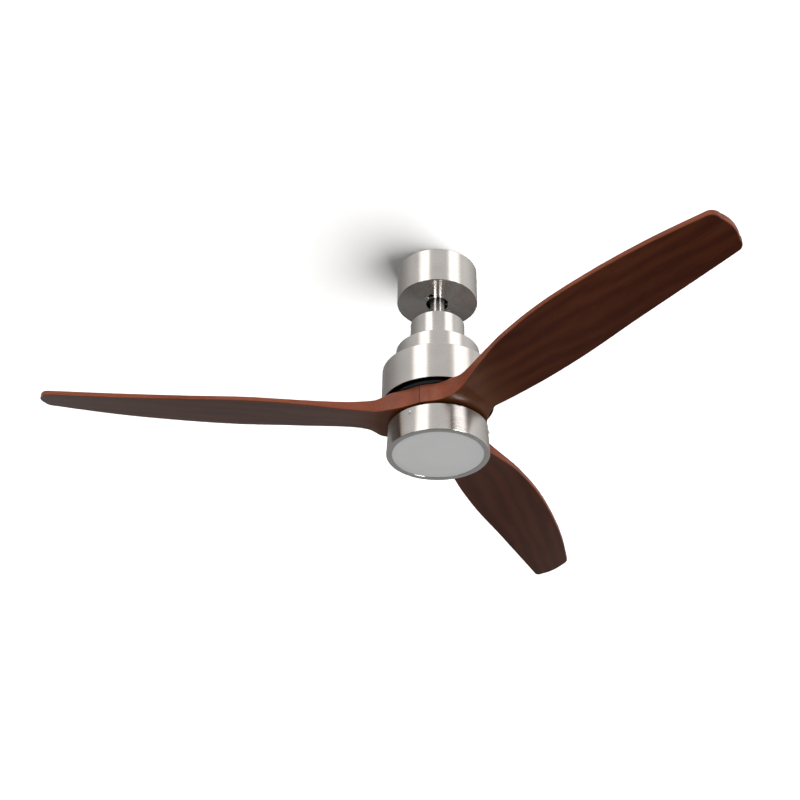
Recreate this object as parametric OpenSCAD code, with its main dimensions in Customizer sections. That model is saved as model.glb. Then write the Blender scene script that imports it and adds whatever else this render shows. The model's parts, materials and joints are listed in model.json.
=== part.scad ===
// Three-blade ceiling fan with a round light, hung on a short downrod.
// Units are millimetres. The origin is the centre of the ceiling face, +Z is up,
// and the whole fan hangs below z = 0. Blade angles count from +X, counter-clockwise from above.

/* [Ceiling end] */
// Outer radius of the canopy
canopy_r = 74; // [60:1:80]
// Height of the canopy
canopy_h = 70.5; // [70:0.5:90]
// Radius of the opening that the downrod hangs through
canopy_hole_r = 20.5; // [20:0.5:22]
// Compass angle of the first canopy screw
canopy_screw_angle = 46.5; // [40:0.5:60]
// Distance of the canopy screws from the axis
canopy_screw_r = 27.6; // [27:0.1:30]
// Depth of the hanger ball's centre below the ceiling
ball_depth = 38; // [38:0.5:40]
// Radius of the hanger ball
ball_r = 26; // [25:0.5:26]
// Distance between the centres of the two ceiling slots
ceiling_slot_spacing = 90; // [80:1:94]

/* [Downrod] */
// Outer radius of the downrod tube
rod_r = 13; // [12:0.5:13.5]
// Wall of the downrod tube
rod_wall = 2.4; // [2:0.1:3]

/* [Housings] */
// Depth of the top of the coupling cover
cover_top = 121; // [110:1:130]
// Outer radius of the coupling cover
cover_r = 49; // [46:1:52]
// Depth of the top of the driver housing
driver_top = 181.4; // [181:0.2:190]
// Outer radius of the driver housing
driver_r = 74.7; // [72:0.1:78]
// Depth of the top of the motor housing
motor_top = 225.6; // [225:0.2:228]
// Outer radius of the motor housing
motor_r = 98.1; // [97:0.1:102]
// Depth of the open lower rim of the motor housing
motor_bottom = 295; // [290:1:296]
// Sheet thickness of the spun steel shells
shell_wall = 1.2; // [1:0.1:1.5]

/* [Blades] */
// Compass angle of the first blade
blade_angle = 193.35; // [0:0.05:360]
// Reach of the blade tip along the blade's own axis
tip_x = 657; // [640:1:680]
// Outer radius of the hub that the three blade roots form
hub_r = 84; // [82:1:86]
// Radius of the hole in the middle of the hub
hub_hole_r = 30; // [26:1:34]
// Depth of the hub's upper face
hub_top = 300; // [300:0.5:302]
// Thickness of the wood at the hub
hub_thick = 34; // [30:1:34]

/* [Lamp] */
// Depth of the top of the lamp cup
lamp_top = 339.6; // [339.6:0.1:341]
// Depth of the bottom of the lamp cup
lamp_bottom = 391.5; // [388:0.5:396]
// Outer radius at the top of the lamp cup
lamp_top_r = 86; // [85:0.5:88]
// Outer radius at the bottom of the lamp cup
lamp_bottom_r = 88.4; // [88:0.1:92]
// Radius of the visible diffuser
diffuser_r = 78.2; // [74:0.1:79]
// Compass angle of the first lamp screw
lamp_screw_angle = 236.9; // [200:0.1:270]

/* [Hidden] */
$fn = 96;
eps = 0.01;
gap = 0.05;               // assembly clearance of pins, screws and sleeves inside one body

// Ceiling end
plate_t = 3;
plate_l = 134;
plate_w = 46;
slot_r = 3.2;
slot_l = 22;
cable_hole_r = 17;
cheek_y = 33.2;           // inner face of the bracket's two cheeks
cheek_t = 3;
cheek_w = 50;
flange_z = -50;
flange_t = 3;
flange_r = 38;
seat_gap = 0.3;           // running gap on both sides of the liner
liner_t = 2;
seat_t = 3;
seat_r = ball_r + 2 * seat_gap + liner_t;
seat_lip_r = 20.7;        // radius of the seat's lower opening
rod_slot_w = 28.5;
canopy_floor_t = 1.5;
canopy_floor_z = -canopy_h + canopy_floor_t;
post_r = 5;
m4_r = 2;
keyhole_turn = 22;        // how far the canopy is turned to hook it on its screws

// Rod and coupling
rod_top = -20;
rod_bottom = -154;
rod_bore_r = rod_r - rod_wall;
ball_pin_z = -ball_depth + 8;
pin_r = 3;
coupling_top = -128;
coupling_bottom = -180;
coupling_r = 19;
clevis_z = -142;
clevis_r = 3.5;
shaft_r = 8.5;
shaft_bore_r = 5;
shaft_top = -166;
shaft_bottom = -354;
wire_r = 1.1;

// Motor
hanger_plate_t = 3;
hanger_plate_r = 78;
hanger_plate_z = -motor_top - 1.5 - hanger_plate_t;
rotor_top = -235;
rotor_split = -262;
rotor_bottom = -hub_top + 3;
rotor_r = 83;
rotor_flange_r = 91;
rotor_skin = 3;
back_iron_r = 79;
magnet_r = 75;
magnet_inner_r = 71;
stator_r = 70;
stator_z = -278;
stator_h = 24;
teeth = 12;
tooth_w = 9;
poles = 14;
bearing_r = 20;
bearing_h = 12;
bearing_pitch_r = 14.25;
bearing_ball_r = 3.375;
inner_ring_r = 11.6;
outer_ring_r = 16.9;
upper_bearing_z = rotor_top - rotor_skin - bearing_h / 2;
lower_bearing_z = rotor_bottom + rotor_skin + bearing_h / 2;
boss_r = 24;

// Blades: stations along the blade axis, each
// [x, leading y, leading bottom z, leading edge thickness, trailing y, trailing bottom z, trailing edge thickness]
blade_stations = [
    [84, -53, -334, 34, 27, -334, 34],
    [112, -56, -325.7, 20.2, 25, -335, 25],
    [136, -61.5, -320.6, 14.1, 25, -336, 19.7],
    [170, -70.5, -316.7, 11.2, 25, -337, 15],
    [240, -87.5, -312.5, 9.5, 24.5, -337, 9.3],
    [330, -103, -312.5, 8, 17.5, -337.5, 8],
    [430, -109, -314.5, 8, 2.5, -339.5, 8],
    [540, -107, -317.5, 8.5, -12.5, -342, 8.5],
    [660, -95, -321, 9, -28, -343.5, 8.5]
];
root_x = 116;             // where the hub's blend ends and straight sections begin
seam_lead = -65;          // angles of the two seams, counted from the blade axis
seam_trail = 55;
seam_gap = 0.3;
blend_lead = -55;         // angles at which the hub circle turns into the blade's edges
blend_trail = 46;
lead_knee = [72, -48];
trail_knee = [88, 33];
root_undercut = 5;        // how far the root's leading face leans in, from its top to its bottom
tip_corner_r = 13;
tip_crown = 5;
top_crown = 3;
span_steps = 26;
tip_steps = 6;
hub_steps = 9;
chord_steps = 9;
blade_bolt_r = 60;
blade_bolt_turns = [-36, 0, 36];
blade_pitch_angle = 120;

// Lamp
clamp_t = 2;
clamp_r = 74;
mount_plate_z = -343;
mount_plate_t = 2.5;
mount_plate_r = 80;
lamp_screw_z = -349;
lip_w = lamp_bottom_r - diffuser_r - 0.2;
sink_z = -371;
sink_r = 76;
led_board_t = 1.6;
led_rings = [[18, 8], [38, 16], [58, 24]];

// ---------------------------------------------------------------- helpers

// Places children in a ring of n, starting at angle a
module ring_of(n, r, a = 0) {
    for (i = [0 : n - 1])
        rotate([0, 0, a + i * 360 / n])
            translate([r, 0, 0])
                children();
}

module tube(outer, inner, h) {
    difference() {
        cylinder(r = outer, h = h);
        translate([0, 0, -1])
            cylinder(r = inner, h = h + 2);
    }
}

// Screw with a domed head and a cross recess: the head stands on z = 0, the shank goes down
module pan_screw(r, length, head_r, head_h) {
    difference() {
        union() {
            translate([0, 0, -length])
                cylinder(r = r - gap, h = length + eps, $fn = 32);
            intersection() {
                cylinder(r = head_r, h = head_h, $fn = 48);
                translate([0, 0, head_h - head_r * 1.6])
                    sphere(r = head_r * 1.6, $fn = 64);
            }
        }
        for (a = [0, 90])
            rotate([0, 0, a])
                translate([-head_r * 0.55, -head_r * 0.11, head_h * 0.45])
                    cube([head_r * 1.1, head_r * 0.22, head_h]);
    }
}

module hex_nut(across, bore, h) {
    difference() {
        cylinder(r = across / sqrt(3), h = h, $fn = 6);
        translate([0, 0, -1])
            cylinder(r = bore, h = h + 2);
    }
}

// Round wire in the plane x = const, through a list of [y, z] points
module wire(x, points, r) {
    sides = 8;
    n = len(points);
    ring = [
        for (i = [0 : n - 1])
            let (
                a = points[max(i - 1, 0)],
                b = points[min(i + 1, n - 1)],
                t = (b - a) / norm(b - a)
            )
            for (k = [0 : sides - 1])
                let (c = r * cos(k * 360 / sides), d = r * sin(k * 360 / sides))
                [x + c, points[i][0] - t[1] * d, points[i][1] + t[0] * d]
    ];
    walls = [
        for (i = [0 : n - 2])
            for (k = [0 : sides - 1])
                let (a = i * sides + k, b = i * sides + (k + 1) % sides)
                [a, a + sides, b + sides, b]
    ];
    start_cap = [[for (k = [0 : sides - 1]) k]];
    end_cap = [[for (k = [sides - 1 : -1 : 0]) (n - 1) * sides + k]];
    polyhedron(ring, concat(walls, start_cap, end_cap));
}

// Shell of a stepped tier: a cup that is open below, with a hole in its top
module tier(r, top, bottom, hole_r, top_t = 1.5) {
    rotate_extrude()
        polygon([
            [hole_r, -top], [r, -top], [r, -bottom], [r - shell_wall, -bottom],
            [r - shell_wall, -top - top_t], [hole_r, -top - top_t]
        ]);
}

// ---------------------------------------------------------------- ceiling end

module slot(l, r, h) {
    for (s = [-1, 1])
        translate([s * (l / 2 - r), 0, 0])
            cylinder(r = r, h = h, $fn = 48);
    translate([-l / 2 + r, -r, 0])
        cube([l - 2 * r, 2 * r, h]);
}

module ceiling_bracket() {
    color("silver")
        difference() {
            union() {
                translate([0, 0, -plate_t])
                    intersection() {
                        translate([-plate_l / 2, -plate_w / 2, 0])
                            cube([plate_l, plate_w, plate_t]);
                        cylinder(r = plate_l / 2, h = plate_t);
                    }
                translate([-cheek_w / 2, -cheek_y - cheek_t, -plate_t])
                    cube([cheek_w, 2 * (cheek_y + cheek_t), plate_t]);
                for (s = [-1, 1])
                    translate([-cheek_w / 2, s > 0 ? cheek_y : -cheek_y - cheek_t, flange_z])
                        cube([cheek_w, cheek_t, -flange_z]);
                translate([0, 0, flange_z - flange_t])
                    cylinder(r = flange_r, h = flange_t);
                intersection() {
                    translate([0, 0, -ball_depth])
                        sphere(r = seat_r + seat_t, $fn = 128);
                    translate([0, 0, -ball_depth - sqrt(seat_r * seat_r - seat_lip_r * seat_lip_r)])
                        cylinder(r = 60, h = sqrt(seat_r * seat_r - seat_lip_r * seat_lip_r) - 6);
                }
                ring_of(2, canopy_screw_r, canopy_screw_angle)
                    translate([0, 0, canopy_floor_z])
                        cylinder(r = post_r, h = flange_z - flange_t - canopy_floor_z + 1);
            }
            translate([0, 0, -ball_depth])
                sphere(r = seat_r, $fn = 128);
            translate([0, 0, -plate_t - 1])
                cylinder(r = cable_hole_r, h = plate_t + 2);
            for (s = [-1, 1])
                translate([s * ceiling_slot_spacing / 2, 0, -plate_t - 1])
                    slot(slot_l, slot_r, plate_t + 2);
            translate([0, -rod_slot_w / 2, -66])
                cube([60, rod_slot_w, 26]);
            ring_of(2, canopy_screw_r, canopy_screw_angle)
                translate([0, 0, canopy_floor_z - 1])
                    cylinder(r = m4_r, h = 11, $fn = 32);
            for (y = [-cheek_y - cheek_t - 1, cheek_y - 1])
                translate([0, y, -31])
                    rotate([-90, 0, 0])
                        cylinder(r = m4_r, h = cheek_t + 2, $fn = 32);
        }
}

module canopy() {
    color("lightgray")
        difference() {
            rotate_extrude($fn = 160)
                polygon([
                    [canopy_r, 0], [canopy_r - shell_wall, 0], [canopy_r - shell_wall, canopy_floor_z],
                    [canopy_hole_r, canopy_floor_z], [canopy_hole_r, -canopy_h], [canopy_r, -canopy_h]
                ]);
            for (a = [canopy_screw_angle, canopy_screw_angle + 180])
                translate([0, 0, -canopy_h - 1]) {
                    rotate([0, 0, a])
                        translate([canopy_screw_r, 0, 0])
                            cylinder(r = m4_r + 0.4, h = 4, $fn = 32);
                    rotate([0, 0, a + keyhole_turn])
                        translate([canopy_screw_r, 0, 0])
                            cylinder(r = 4.6, h = 4, $fn = 48);
                    rotate([0, 0, a])
                        rotate_extrude(angle = keyhole_turn)
                            translate([canopy_screw_r - m4_r - 0.4, 0])
                                square([2 * m4_r + 0.8, 4]);
                }
        }
}

module canopy_screws() {
    color("gainsboro")
        ring_of(2, canopy_screw_r, canopy_screw_angle)
            translate([0, 0, -canopy_h])
                rotate([180, 0, 0])
                    pan_screw(m4_r, 11, 3.9, 2.4);
}

module terminal_block() {
    block_w = 34;
    block_d = 14;
    block_h = 16;
    color("ivory")
        translate([-block_w / 2, cheek_y + cheek_t, -24 - block_h])
            difference() {
                cube([block_w, block_d, block_h]);
                for (i = [0 : 2])
                    translate([block_w / 6 + i * block_w / 3, block_d / 2, block_h - 6])
                        cylinder(r = 2.4, h = 7, $fn = 32);
                for (i = [0 : 2])
                    translate([block_w / 6 + i * block_w / 3, block_d + 1, 5])
                        rotate([90, 0, 0])
                            cylinder(r = 2, h = 8, $fn = 32);
            }
}

module earth_screw() {
    color("limegreen")
        translate([0, -cheek_y - cheek_t, -31])
            rotate([90, 0, 0])
                pan_screw(m4_r, 6, 4.2, 2.6);
}

module seat_liner() {
    color("dimgray")
        difference() {
            intersection() {
                translate([0, 0, -ball_depth])
                    sphere(r = seat_r - seat_gap, $fn = 128);
                translate([0, 0, -ball_depth - 17.6])
                    cylinder(r = 40, h = 9.6);
            }
            translate([0, 0, -ball_depth])
                sphere(r = ball_r + seat_gap, $fn = 128);
            translate([0, -rod_slot_w / 2, -66])
                cube([60, rod_slot_w, 26]);
        }
}

// ---------------------------------------------------------------- rod and coupling

module hanger_ball() {
    color("black")
        difference() {
            intersection() {
                translate([0, 0, -ball_depth])
                    sphere(r = ball_r, $fn = 128);
                translate([0, 0, -ball_depth - 21])
                    cylinder(r = 40, h = 37);
            }
            translate([0, 0, -80])
                cylinder(r = rod_r + gap, h = 80);
            translate([-40, 0, ball_pin_z])
                rotate([0, 90, 0])
                    cylinder(r = pin_r + gap, h = 80, $fn = 48);
        }
}

module ball_pin() {
    color("silver")
        translate([-23, 0, ball_pin_z])
            rotate([0, 90, 0])
                cylinder(r = pin_r, h = 46, $fn = 48);
}

module downrod() {
    color("silver")
        difference() {
            translate([0, 0, rod_bottom])
                cylinder(r = rod_r, h = rod_top - rod_bottom);
            translate([0, 0, rod_bottom - 1])
                cylinder(r = rod_bore_r, h = rod_top - rod_bottom + 2);
            translate([-40, 0, ball_pin_z])
                rotate([0, 90, 0])
                    cylinder(r = pin_r + gap, h = 80, $fn = 48);
            translate([-40, 0, clevis_z])
                rotate([0, 90, 0])
                    cylinder(r = clevis_r + gap, h = 80, $fn = 48);
        }
}

module supply_leads() {
    color("brown")
        for (x = [-3, 0, 3])
            wire(x, [
                [6.5, rod_top], [6.5, -148], [7.2, -153], [10, -157], [16, -160.5], [26, -166],
                [31, -173], [33, -181], [33, -192.4]
            ], wire_r);
}

module lead_plug() {
    color("white")
        difference() {
            translate([-7, 2, rod_top])
                cube([14, 9, 13]);
            for (x = [-4, 0, 4])
                translate([x, 6.5, rod_top + 5])
                    cylinder(r = 1.3, h = 10, $fn = 24);
        }
}

module motor_coupling() {
    color("gray")
        difference() {
            union() {
                translate([0, 0, coupling_bottom])
                    cylinder(r = coupling_r, h = coupling_top - coupling_bottom);
                translate([0, 0, coupling_bottom])
                    cylinder(r = coupling_r + 6, h = 5);
            }
            translate([0, 0, rod_bottom])
                cylinder(r = rod_r + gap, h = 40);
            translate([0, 0, shaft_top])
                cylinder(r = 11, h = rod_bottom - shaft_top + eps);
            translate([0, 0, coupling_bottom - 1])
                cylinder(r = shaft_r + gap, h = shaft_top - coupling_bottom + 2);
            translate([-9, -30, shaft_top])
                cube([18, 60, rod_bottom - shaft_top]);
            translate([-40, 0, clevis_z])
                rotate([0, 90, 0])
                    cylinder(r = clevis_r + gap, h = 80, $fn = 48);
            for (z = [clevis_z + 7, -173])
                translate([0, -40, z])
                    rotate([-90, 0, 0])
                        cylinder(r = 2.5 + gap, h = 80, $fn = 32);
        }
}

module clevis_pin() {
    color("silver")
        translate([-23.5, 0, clevis_z])
            rotate([0, 90, 0]) {
                cylinder(r = 5.5, h = 2.4, $fn = 48);
                difference() {
                    cylinder(r = clevis_r, h = 49, $fn = 48);
                    translate([10, 0, 45])
                        rotate([0, -90, 0])
                            cylinder(r = 1.2, h = 20, $fn = 24);
                }
            }
}

module clevis_clip() {
    clip_x = 21.5;
    color("gainsboro") {
        translate([clip_x, 0, clevis_z - 8])
            cylinder(r = 1, h = 18, $fn = 24);
        translate([clip_x, 4.9, clevis_z + 10])
            rotate([90, 0, 90])
                rotate_extrude(angle = 180, $fn = 32)
                    translate([4.9, 0])
                        circle(r = 1, $fn = 24);
        translate([clip_x, 9.8, clevis_z - 6])
            cylinder(r = 1, h = 16, $fn = 24);
    }
}

module set_screws() {
    color("dimgray") {
        for (s = [-1, 1])
            translate([0, s * (rod_r + gap), clevis_z + 7])
                rotate([-90 * s, 0, 0])
                    cylinder(r = 2.5, h = 5.5, $fn = 32);
        for (s = [-1, 1])
            translate([0, s * (shaft_r + gap), -173])
                rotate([-90 * s, 0, 0])
                    cylinder(r = 2.5, h = 10, $fn = 32);
    }
}

// ---------------------------------------------------------------- housings

module screw_tabs(n, r_in, r_out, z, a) {
    for (i = [0 : n - 1])
        rotate([0, 0, a + i * 360 / n])
            translate([r_in, -5, z])
                cube([r_out - r_in, 10, 5]);
}

module coupling_cover() {
    color("lightgray")
        difference() {
            union() {
                tier(cover_r, cover_top, driver_top, rod_r + 0.6);
                screw_tabs(3, cover_r - 9, cover_r - shell_wall + 0.4, -driver_top, 30);
            }
            ring_of(3, cover_r - 5.5, 30)
                translate([0, 0, -driver_top - 1])
                    cylinder(r = 1.5, h = 5, $fn = 32);
        }
}

module driver_housing() {
    color("lightgray")
        difference() {
            union() {
                tier(driver_r, driver_top, motor_top, 36);
                screw_tabs(4, driver_r - 9, driver_r - shell_wall + 0.4, -motor_top, 45);
            }
            ring_of(3, cover_r - 5.5, 30)
                translate([0, 0, -driver_top - 3])
                    cylinder(r = 1.7, h = 5, $fn = 32);
            ring_of(4, driver_r - 5.5, 45)
                translate([0, 0, -motor_top - 1])
                    cylinder(r = 1.5, h = 5, $fn = 32);
        }
}

module motor_housing() {
    color("lightgray")
        difference() {
            tier(motor_r, motor_top, motor_bottom, 30);
            ring_of(4, driver_r - 5.5, 45)
                translate([0, 0, -motor_top - 3])
                    cylinder(r = 1.7, h = 5, $fn = 32);
            ring_of(4, 58, 0)
                translate([0, 0, -motor_top - 3])
                    cylinder(r = 1.7, h = 5, $fn = 32);
        }
}

module hanger_plate() {
    color("gray")
        difference() {
            translate([0, 0, hanger_plate_z])
                cylinder(r = hanger_plate_r, h = hanger_plate_t);
            translate([0, 0, hanger_plate_z - 1])
                cylinder(r = shaft_r + gap, h = hanger_plate_t + 2);
            ring_of(4, driver_r - 5.5, 45)
                translate([0, 0, hanger_plate_z - 1])
                    cylinder(r = 1.7, h = 6, $fn = 32);
            ring_of(4, 58, 0)
                translate([0, 0, hanger_plate_z - 1])
                    cylinder(r = 5, h = 6, $fn = 32);
            ring_of(6, 34, 30)
                translate([0, 0, hanger_plate_z - 1])
                    cylinder(r = 9, h = 6, $fn = 48);
        }
}

module housing_screws() {
    color("silver") {
        ring_of(3, cover_r - 5.5, 30)
            translate([0, 0, -driver_top - 1.5])
                rotate([180, 0, 0])
                    pan_screw(1.5, 5.4, 3, 1.9);
        ring_of(4, driver_r - 5.5, 45)
            translate([0, 0, hanger_plate_z])
                rotate([180, 0, 0])
                    pan_screw(1.5, 8.4, 3, 1.9);
    }
}

module driver_board() {
    color("seagreen")
        difference() {
            translate([0, 0, -205])
                cylinder(r = 67, h = 1.6);
            translate([0, 0, -206])
                cylinder(r = 25, h = 4);
            ring_of(4, 58, 0)
                translate([0, 0, -206])
                    cylinder(r = 1.6, h = 4, $fn = 32);
        }
}

module board_parts() {
    top = -203.4;
    color("darkslategray") {
        for (y = [-33, 33])
            translate([-9, y - 4, top])
                cube([18, 8, 11]);
        translate([-4, 25.4, top])
            cube([8, 3.4, 11]);
        translate([34, 22, top])
            cube([20, 22, 15]);
        for (a = [200, 222, 244])
            rotate([0, 0, a])
                translate([50, 0, top])
                    cylinder(r = 7, h = 17, $fn = 48);
        for (i = [0 : 5])
            rotate([0, 0, 118 + 9 * i])
                translate([56, -3, top])
                    cube([3, 6, 12]);
        rotate([0, 0, -40])
            translate([40, -10, top])
                cube([16, 20, 3]);
        rotate([0, 0, -78])
            translate([50, 0, top])
                tube(8, 3.5, 9);
        rotate([0, 0, 20])
            translate([38, -3, top])
                cube([8, 6, 4]);
    }
}

module board_standoffs() {
    color("white")
        ring_of(4, 58, 0)
            translate([0, 0, -motor_top]) {
                cylinder(r = 3.4, h = 20.6, $fn = 48);
                cylinder(r = 1.55, h = 24, $fn = 32);
                translate([0, 0, 22.2])
                    cylinder(r = 2.4, h = 1.8, $fn = 32);
                translate([0, 0, -3.5])
                    cylinder(r = 1.65, h = 4, $fn = 32);
            }
}

// ---------------------------------------------------------------- motor, fixed side

module stator_shaft() {
    color("silver")
        difference() {
            union() {
                translate([0, 0, shaft_bottom])
                    cylinder(r = shaft_r, h = shaft_top - shaft_bottom);
                translate([0, 0, hanger_plate_z - 3])
                    cylinder(r = 18, h = 3);
            }
            translate([0, 0, shaft_bottom - 1])
                cylinder(r = shaft_bore_r, h = shaft_top - shaft_bottom + 2);
            translate([0, 0, -252])
                rotate([90, 0, 0])
                    cylinder(r = 3, h = 20, $fn = 32);
            translate([0, 0, lower_bearing_z - bearing_h / 2 - 1.2])
                tube(20, shaft_r - 0.8, 1.2);
        }
}

module shaft_nuts() {
    color("silver") {
        translate([0, 0, hanger_plate_z + hanger_plate_t])
            hex_nut(27, shaft_r + gap, 8);
        translate([0, 0, mount_plate_z - mount_plate_t - 7])
            hex_nut(27, shaft_r + gap, 7);
    }
}

module shaft_spacers() {
    upper_end = upper_bearing_z - bearing_h / 2;
    lower_end = lower_bearing_z + bearing_h / 2;
    color("gainsboro") {
        translate([0, 0, upper_bearing_z + bearing_h / 2])
            tube(11.5, shaft_r + gap, hanger_plate_z - 3 - upper_bearing_z - bearing_h / 2);
        difference() {
            translate([0, 0, stator_z + stator_h])
                tube(11.5, shaft_r + gap, upper_end - stator_z - stator_h);
            translate([-3, -20, stator_z + stator_h - 1])
                cube([6, 20, 8]);
        }
        translate([0, 0, lower_end])
            tube(11.5, shaft_r + gap, stator_z - lower_end);
        translate([0, 0, mount_plate_z])
            tube(12, shaft_r + gap, lower_bearing_z - bearing_h / 2 - 1.2 - mount_plate_z);
    }
}

module shaft_circlip() {
    color("dimgray")
        difference() {
            translate([0, 0, lower_bearing_z - bearing_h / 2 - 1.2])
                tube(11.5, shaft_r - 0.75, 1.2);
            translate([0, -2, lower_bearing_z - bearing_h / 2 - 3])
                cube([20, 4, 6]);
        }
}

module stator_hub() {
    color("lightgray")
        difference() {
            translate([0, 0, stator_z])
                tube(32, shaft_r + gap, stator_h);
            ring_of(6, 21, 15)
                translate([0, 0, stator_z - 1])
                    cylinder(r = 5.5, h = stator_h + 2, $fn = 48);
        }
}

module stator_core() {
    color("slategray")
        translate([0, 0, stator_z])
            difference() {
                union() {
                    cylinder(r = 45, h = stator_h);
                    for (i = [0 : teeth - 1])
                        rotate([0, 0, i * 360 / teeth]) {
                            translate([40, -tooth_w / 2, 0])
                                cube([27.5, tooth_w, stator_h]);
                            intersection() {
                                tube(stator_r, 66.5, stator_h);
                                translate([40, -15, 0])
                                    cube([40, 30, stator_h]);
                            }
                        }
                }
                translate([0, 0, -1])
                    cylinder(r = 32 + gap, h = stator_h + 2);
            }
}

module stator_windings() {
    coil_t = 4.5;
    coil_x = 46;
    coil_l = 19.5;
    color("chocolate")
        for (i = [0 : teeth - 1])
            rotate([0, 0, i * 360 / teeth])
                difference() {
                    translate([coil_x, -tooth_w / 2 - coil_t, stator_z - coil_t])
                        cube([coil_l, tooth_w + 2 * coil_t, stator_h + 2 * coil_t]);
                    translate([coil_x - 1, -tooth_w / 2 - gap, stator_z - gap])
                        cube([coil_l + 2, tooth_w + 2 * gap, stator_h + 2 * gap]);
                }
}

module motor_leads() {
    color("crimson")
        for (x = [-2, 0, 2])
            wire(x, [
                [-33, -192.4], [-33, -181], [-31, -174], [-26, -168], [-18, -163], [-9, -161],
                [-4, -163], [-2.8, -168], [-2.8, -248], [-3.6, -251.2], [-5, -252], [-45.9, -252]
            ], 0.8);
}

// Ball bearing: rings with a round groove, then cage and balls, all about the bearing's centre
module groove() {
    rotate_extrude()
        translate([bearing_pitch_r, 0])
            circle(r = bearing_ball_r + 0.3, $fn = 64);
}

module inner_ring(z) {
    translate([0, 0, z])
        difference() {
            translate([0, 0, -bearing_h / 2])
                tube(inner_ring_r, shaft_r + gap, bearing_h);
            groove();
        }
}

module outer_ring(z) {
    translate([0, 0, z])
        difference() {
            translate([0, 0, -bearing_h / 2])
                tube(bearing_r, outer_ring_r, bearing_h);
            groove();
        }
}

module bearing_cage(z) {
    balls = 8;
    translate([0, 0, z]) {
        difference() {
            translate([0, 0, -4.4])
                tube(15.4, 13.1, 8.8);
            ring_of(balls, bearing_pitch_r - 4)
                rotate([0, 90, 0])
                    cylinder(r = bearing_ball_r + 0.15, h = 8, $fn = 48);
        }
        ring_of(balls, bearing_pitch_r)
            sphere(r = bearing_ball_r, $fn = 48);
    }
}

module upper_inner_ring() {
    color("silver")
        inner_ring(upper_bearing_z);
}

module lower_inner_ring() {
    color("silver")
        inner_ring(lower_bearing_z);
}

module upper_outer_ring() {
    color("silver")
        outer_ring(upper_bearing_z);
}

module lower_outer_ring() {
    color("silver")
        outer_ring(lower_bearing_z);
}

module upper_bearing_cage() {
    color("goldenrod")
        bearing_cage(upper_bearing_z);
}

module lower_bearing_cage() {
    color("goldenrod")
        bearing_cage(lower_bearing_z);
}

// ---------------------------------------------------------------- motor, turning side

module rotor_cover(face_z, split_z, rim_r) {
    up = face_z > split_z ? 1 : -1;
    low = min(face_z, split_z);
    high = max(face_z, split_z);
    boss_h = bearing_h + rotor_skin;
    difference() {
        union() {
            translate([0, 0, low])
                tube(rotor_r, back_iron_r + gap, high - low);
            translate([0, 0, up > 0 ? face_z - rotor_skin : face_z])
                cylinder(r = rim_r, h = rotor_skin);
            translate([0, 0, up > 0 ? face_z - boss_h : face_z])
                cylinder(r = boss_r, h = boss_h);
            translate([0, 0, up > 0 ? split_z : split_z - 3])
                tube(rotor_flange_r, back_iron_r + gap, 3);
        }
        translate([0, 0, up > 0 ? face_z - boss_h - 1 : face_z + rotor_skin])
            cylinder(r = bearing_r + gap, h = bearing_h + 1);
        translate([0, 0, low - 1])
            cylinder(r = 16, h = high - low + 2);
        ring_of(6, 87, 0)
            translate([0, 0, split_z - 4])
                cylinder(r = 1.5, h = 8, $fn = 32);
    }
}

module rotor_upper_cover() {
    color("dimgray")
        rotor_cover(rotor_top, rotor_split, rotor_r);
}

module rotor_lower_cover() {
    color("black")
        difference() {
            rotor_cover(rotor_bottom, rotor_split, rotor_r + 3);
            blade_bolts()
                translate([0, 0, rotor_bottom - 1])
                    cylinder(r = m4_r, h = rotor_skin + 2, $fn = 32);
        }
}

module rotor_screws() {
    color("silver")
        ring_of(6, 87, 0)
            translate([0, 0, rotor_split + 3])
                pan_screw(1.5, 6, 2.6, 1.8);
}

module back_iron() {
    color("slategray")
        translate([0, 0, stator_z - 2])
            tube(back_iron_r, magnet_r + gap, stator_h + 4);
}

module magnets() {
    step = 360 / poles;
    color("dimgray")
        for (i = [0 : poles - 1])
            rotate([0, 0, i * step])
                rotate_extrude(angle = step - 3)
                    translate([magnet_inner_r, stator_z])
                        square([magnet_r - magnet_inner_r, stator_h]);
}

module blade_bolts() {
    middle = (seam_lead + seam_trail) / 2;
    for (b = [0 : 2])
        for (t = blade_bolt_turns)
            rotate([0, 0, blade_angle + b * blade_pitch_angle + middle + t])
                translate([blade_bolt_r, 0, 0])
                    children();
}

module blade_gasket() {
    color("black")
        difference() {
            translate([0, 0, -hub_top])
                tube(hub_r - 4, hub_hole_r, 3);
            blade_bolts()
                translate([0, 0, -hub_top - 1])
                    cylinder(r = m4_r + 0.3, h = 5, $fn = 32);
        }
}

module blade_clamp_plate() {
    color("black")
        difference() {
            translate([0, 0, -hub_top - hub_thick - clamp_t])
                tube(clamp_r, hub_hole_r - 4, clamp_t);
            blade_bolts()
                translate([0, 0, -hub_top - hub_thick - clamp_t - 1])
                    cylinder(r = m4_r + 0.3, h = 5, $fn = 32);
        }
}

module blade_screws() {
    color("dimgray")
        blade_bolts()
            translate([0, 0, -hub_top - hub_thick - clamp_t])
                rotate([180, 0, 0])
                    pan_screw(m4_r, clamp_t + hub_thick + 3 + rotor_skin, 3.9, 2);
}

// ---------------------------------------------------------------- blades

last = len(blade_stations) - 1;

function station(x) = max([for (i = [0 : last - 1]) if (i == 0 || x >= blade_stations[i][0]) i]);

function slope(i, c) =
    let (a = max(i - 1, 0), b = min(i + 1, last))
    (blade_stations[b][c] - blade_stations[a][c]) / (blade_stations[b][0] - blade_stations[a][0]);

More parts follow.
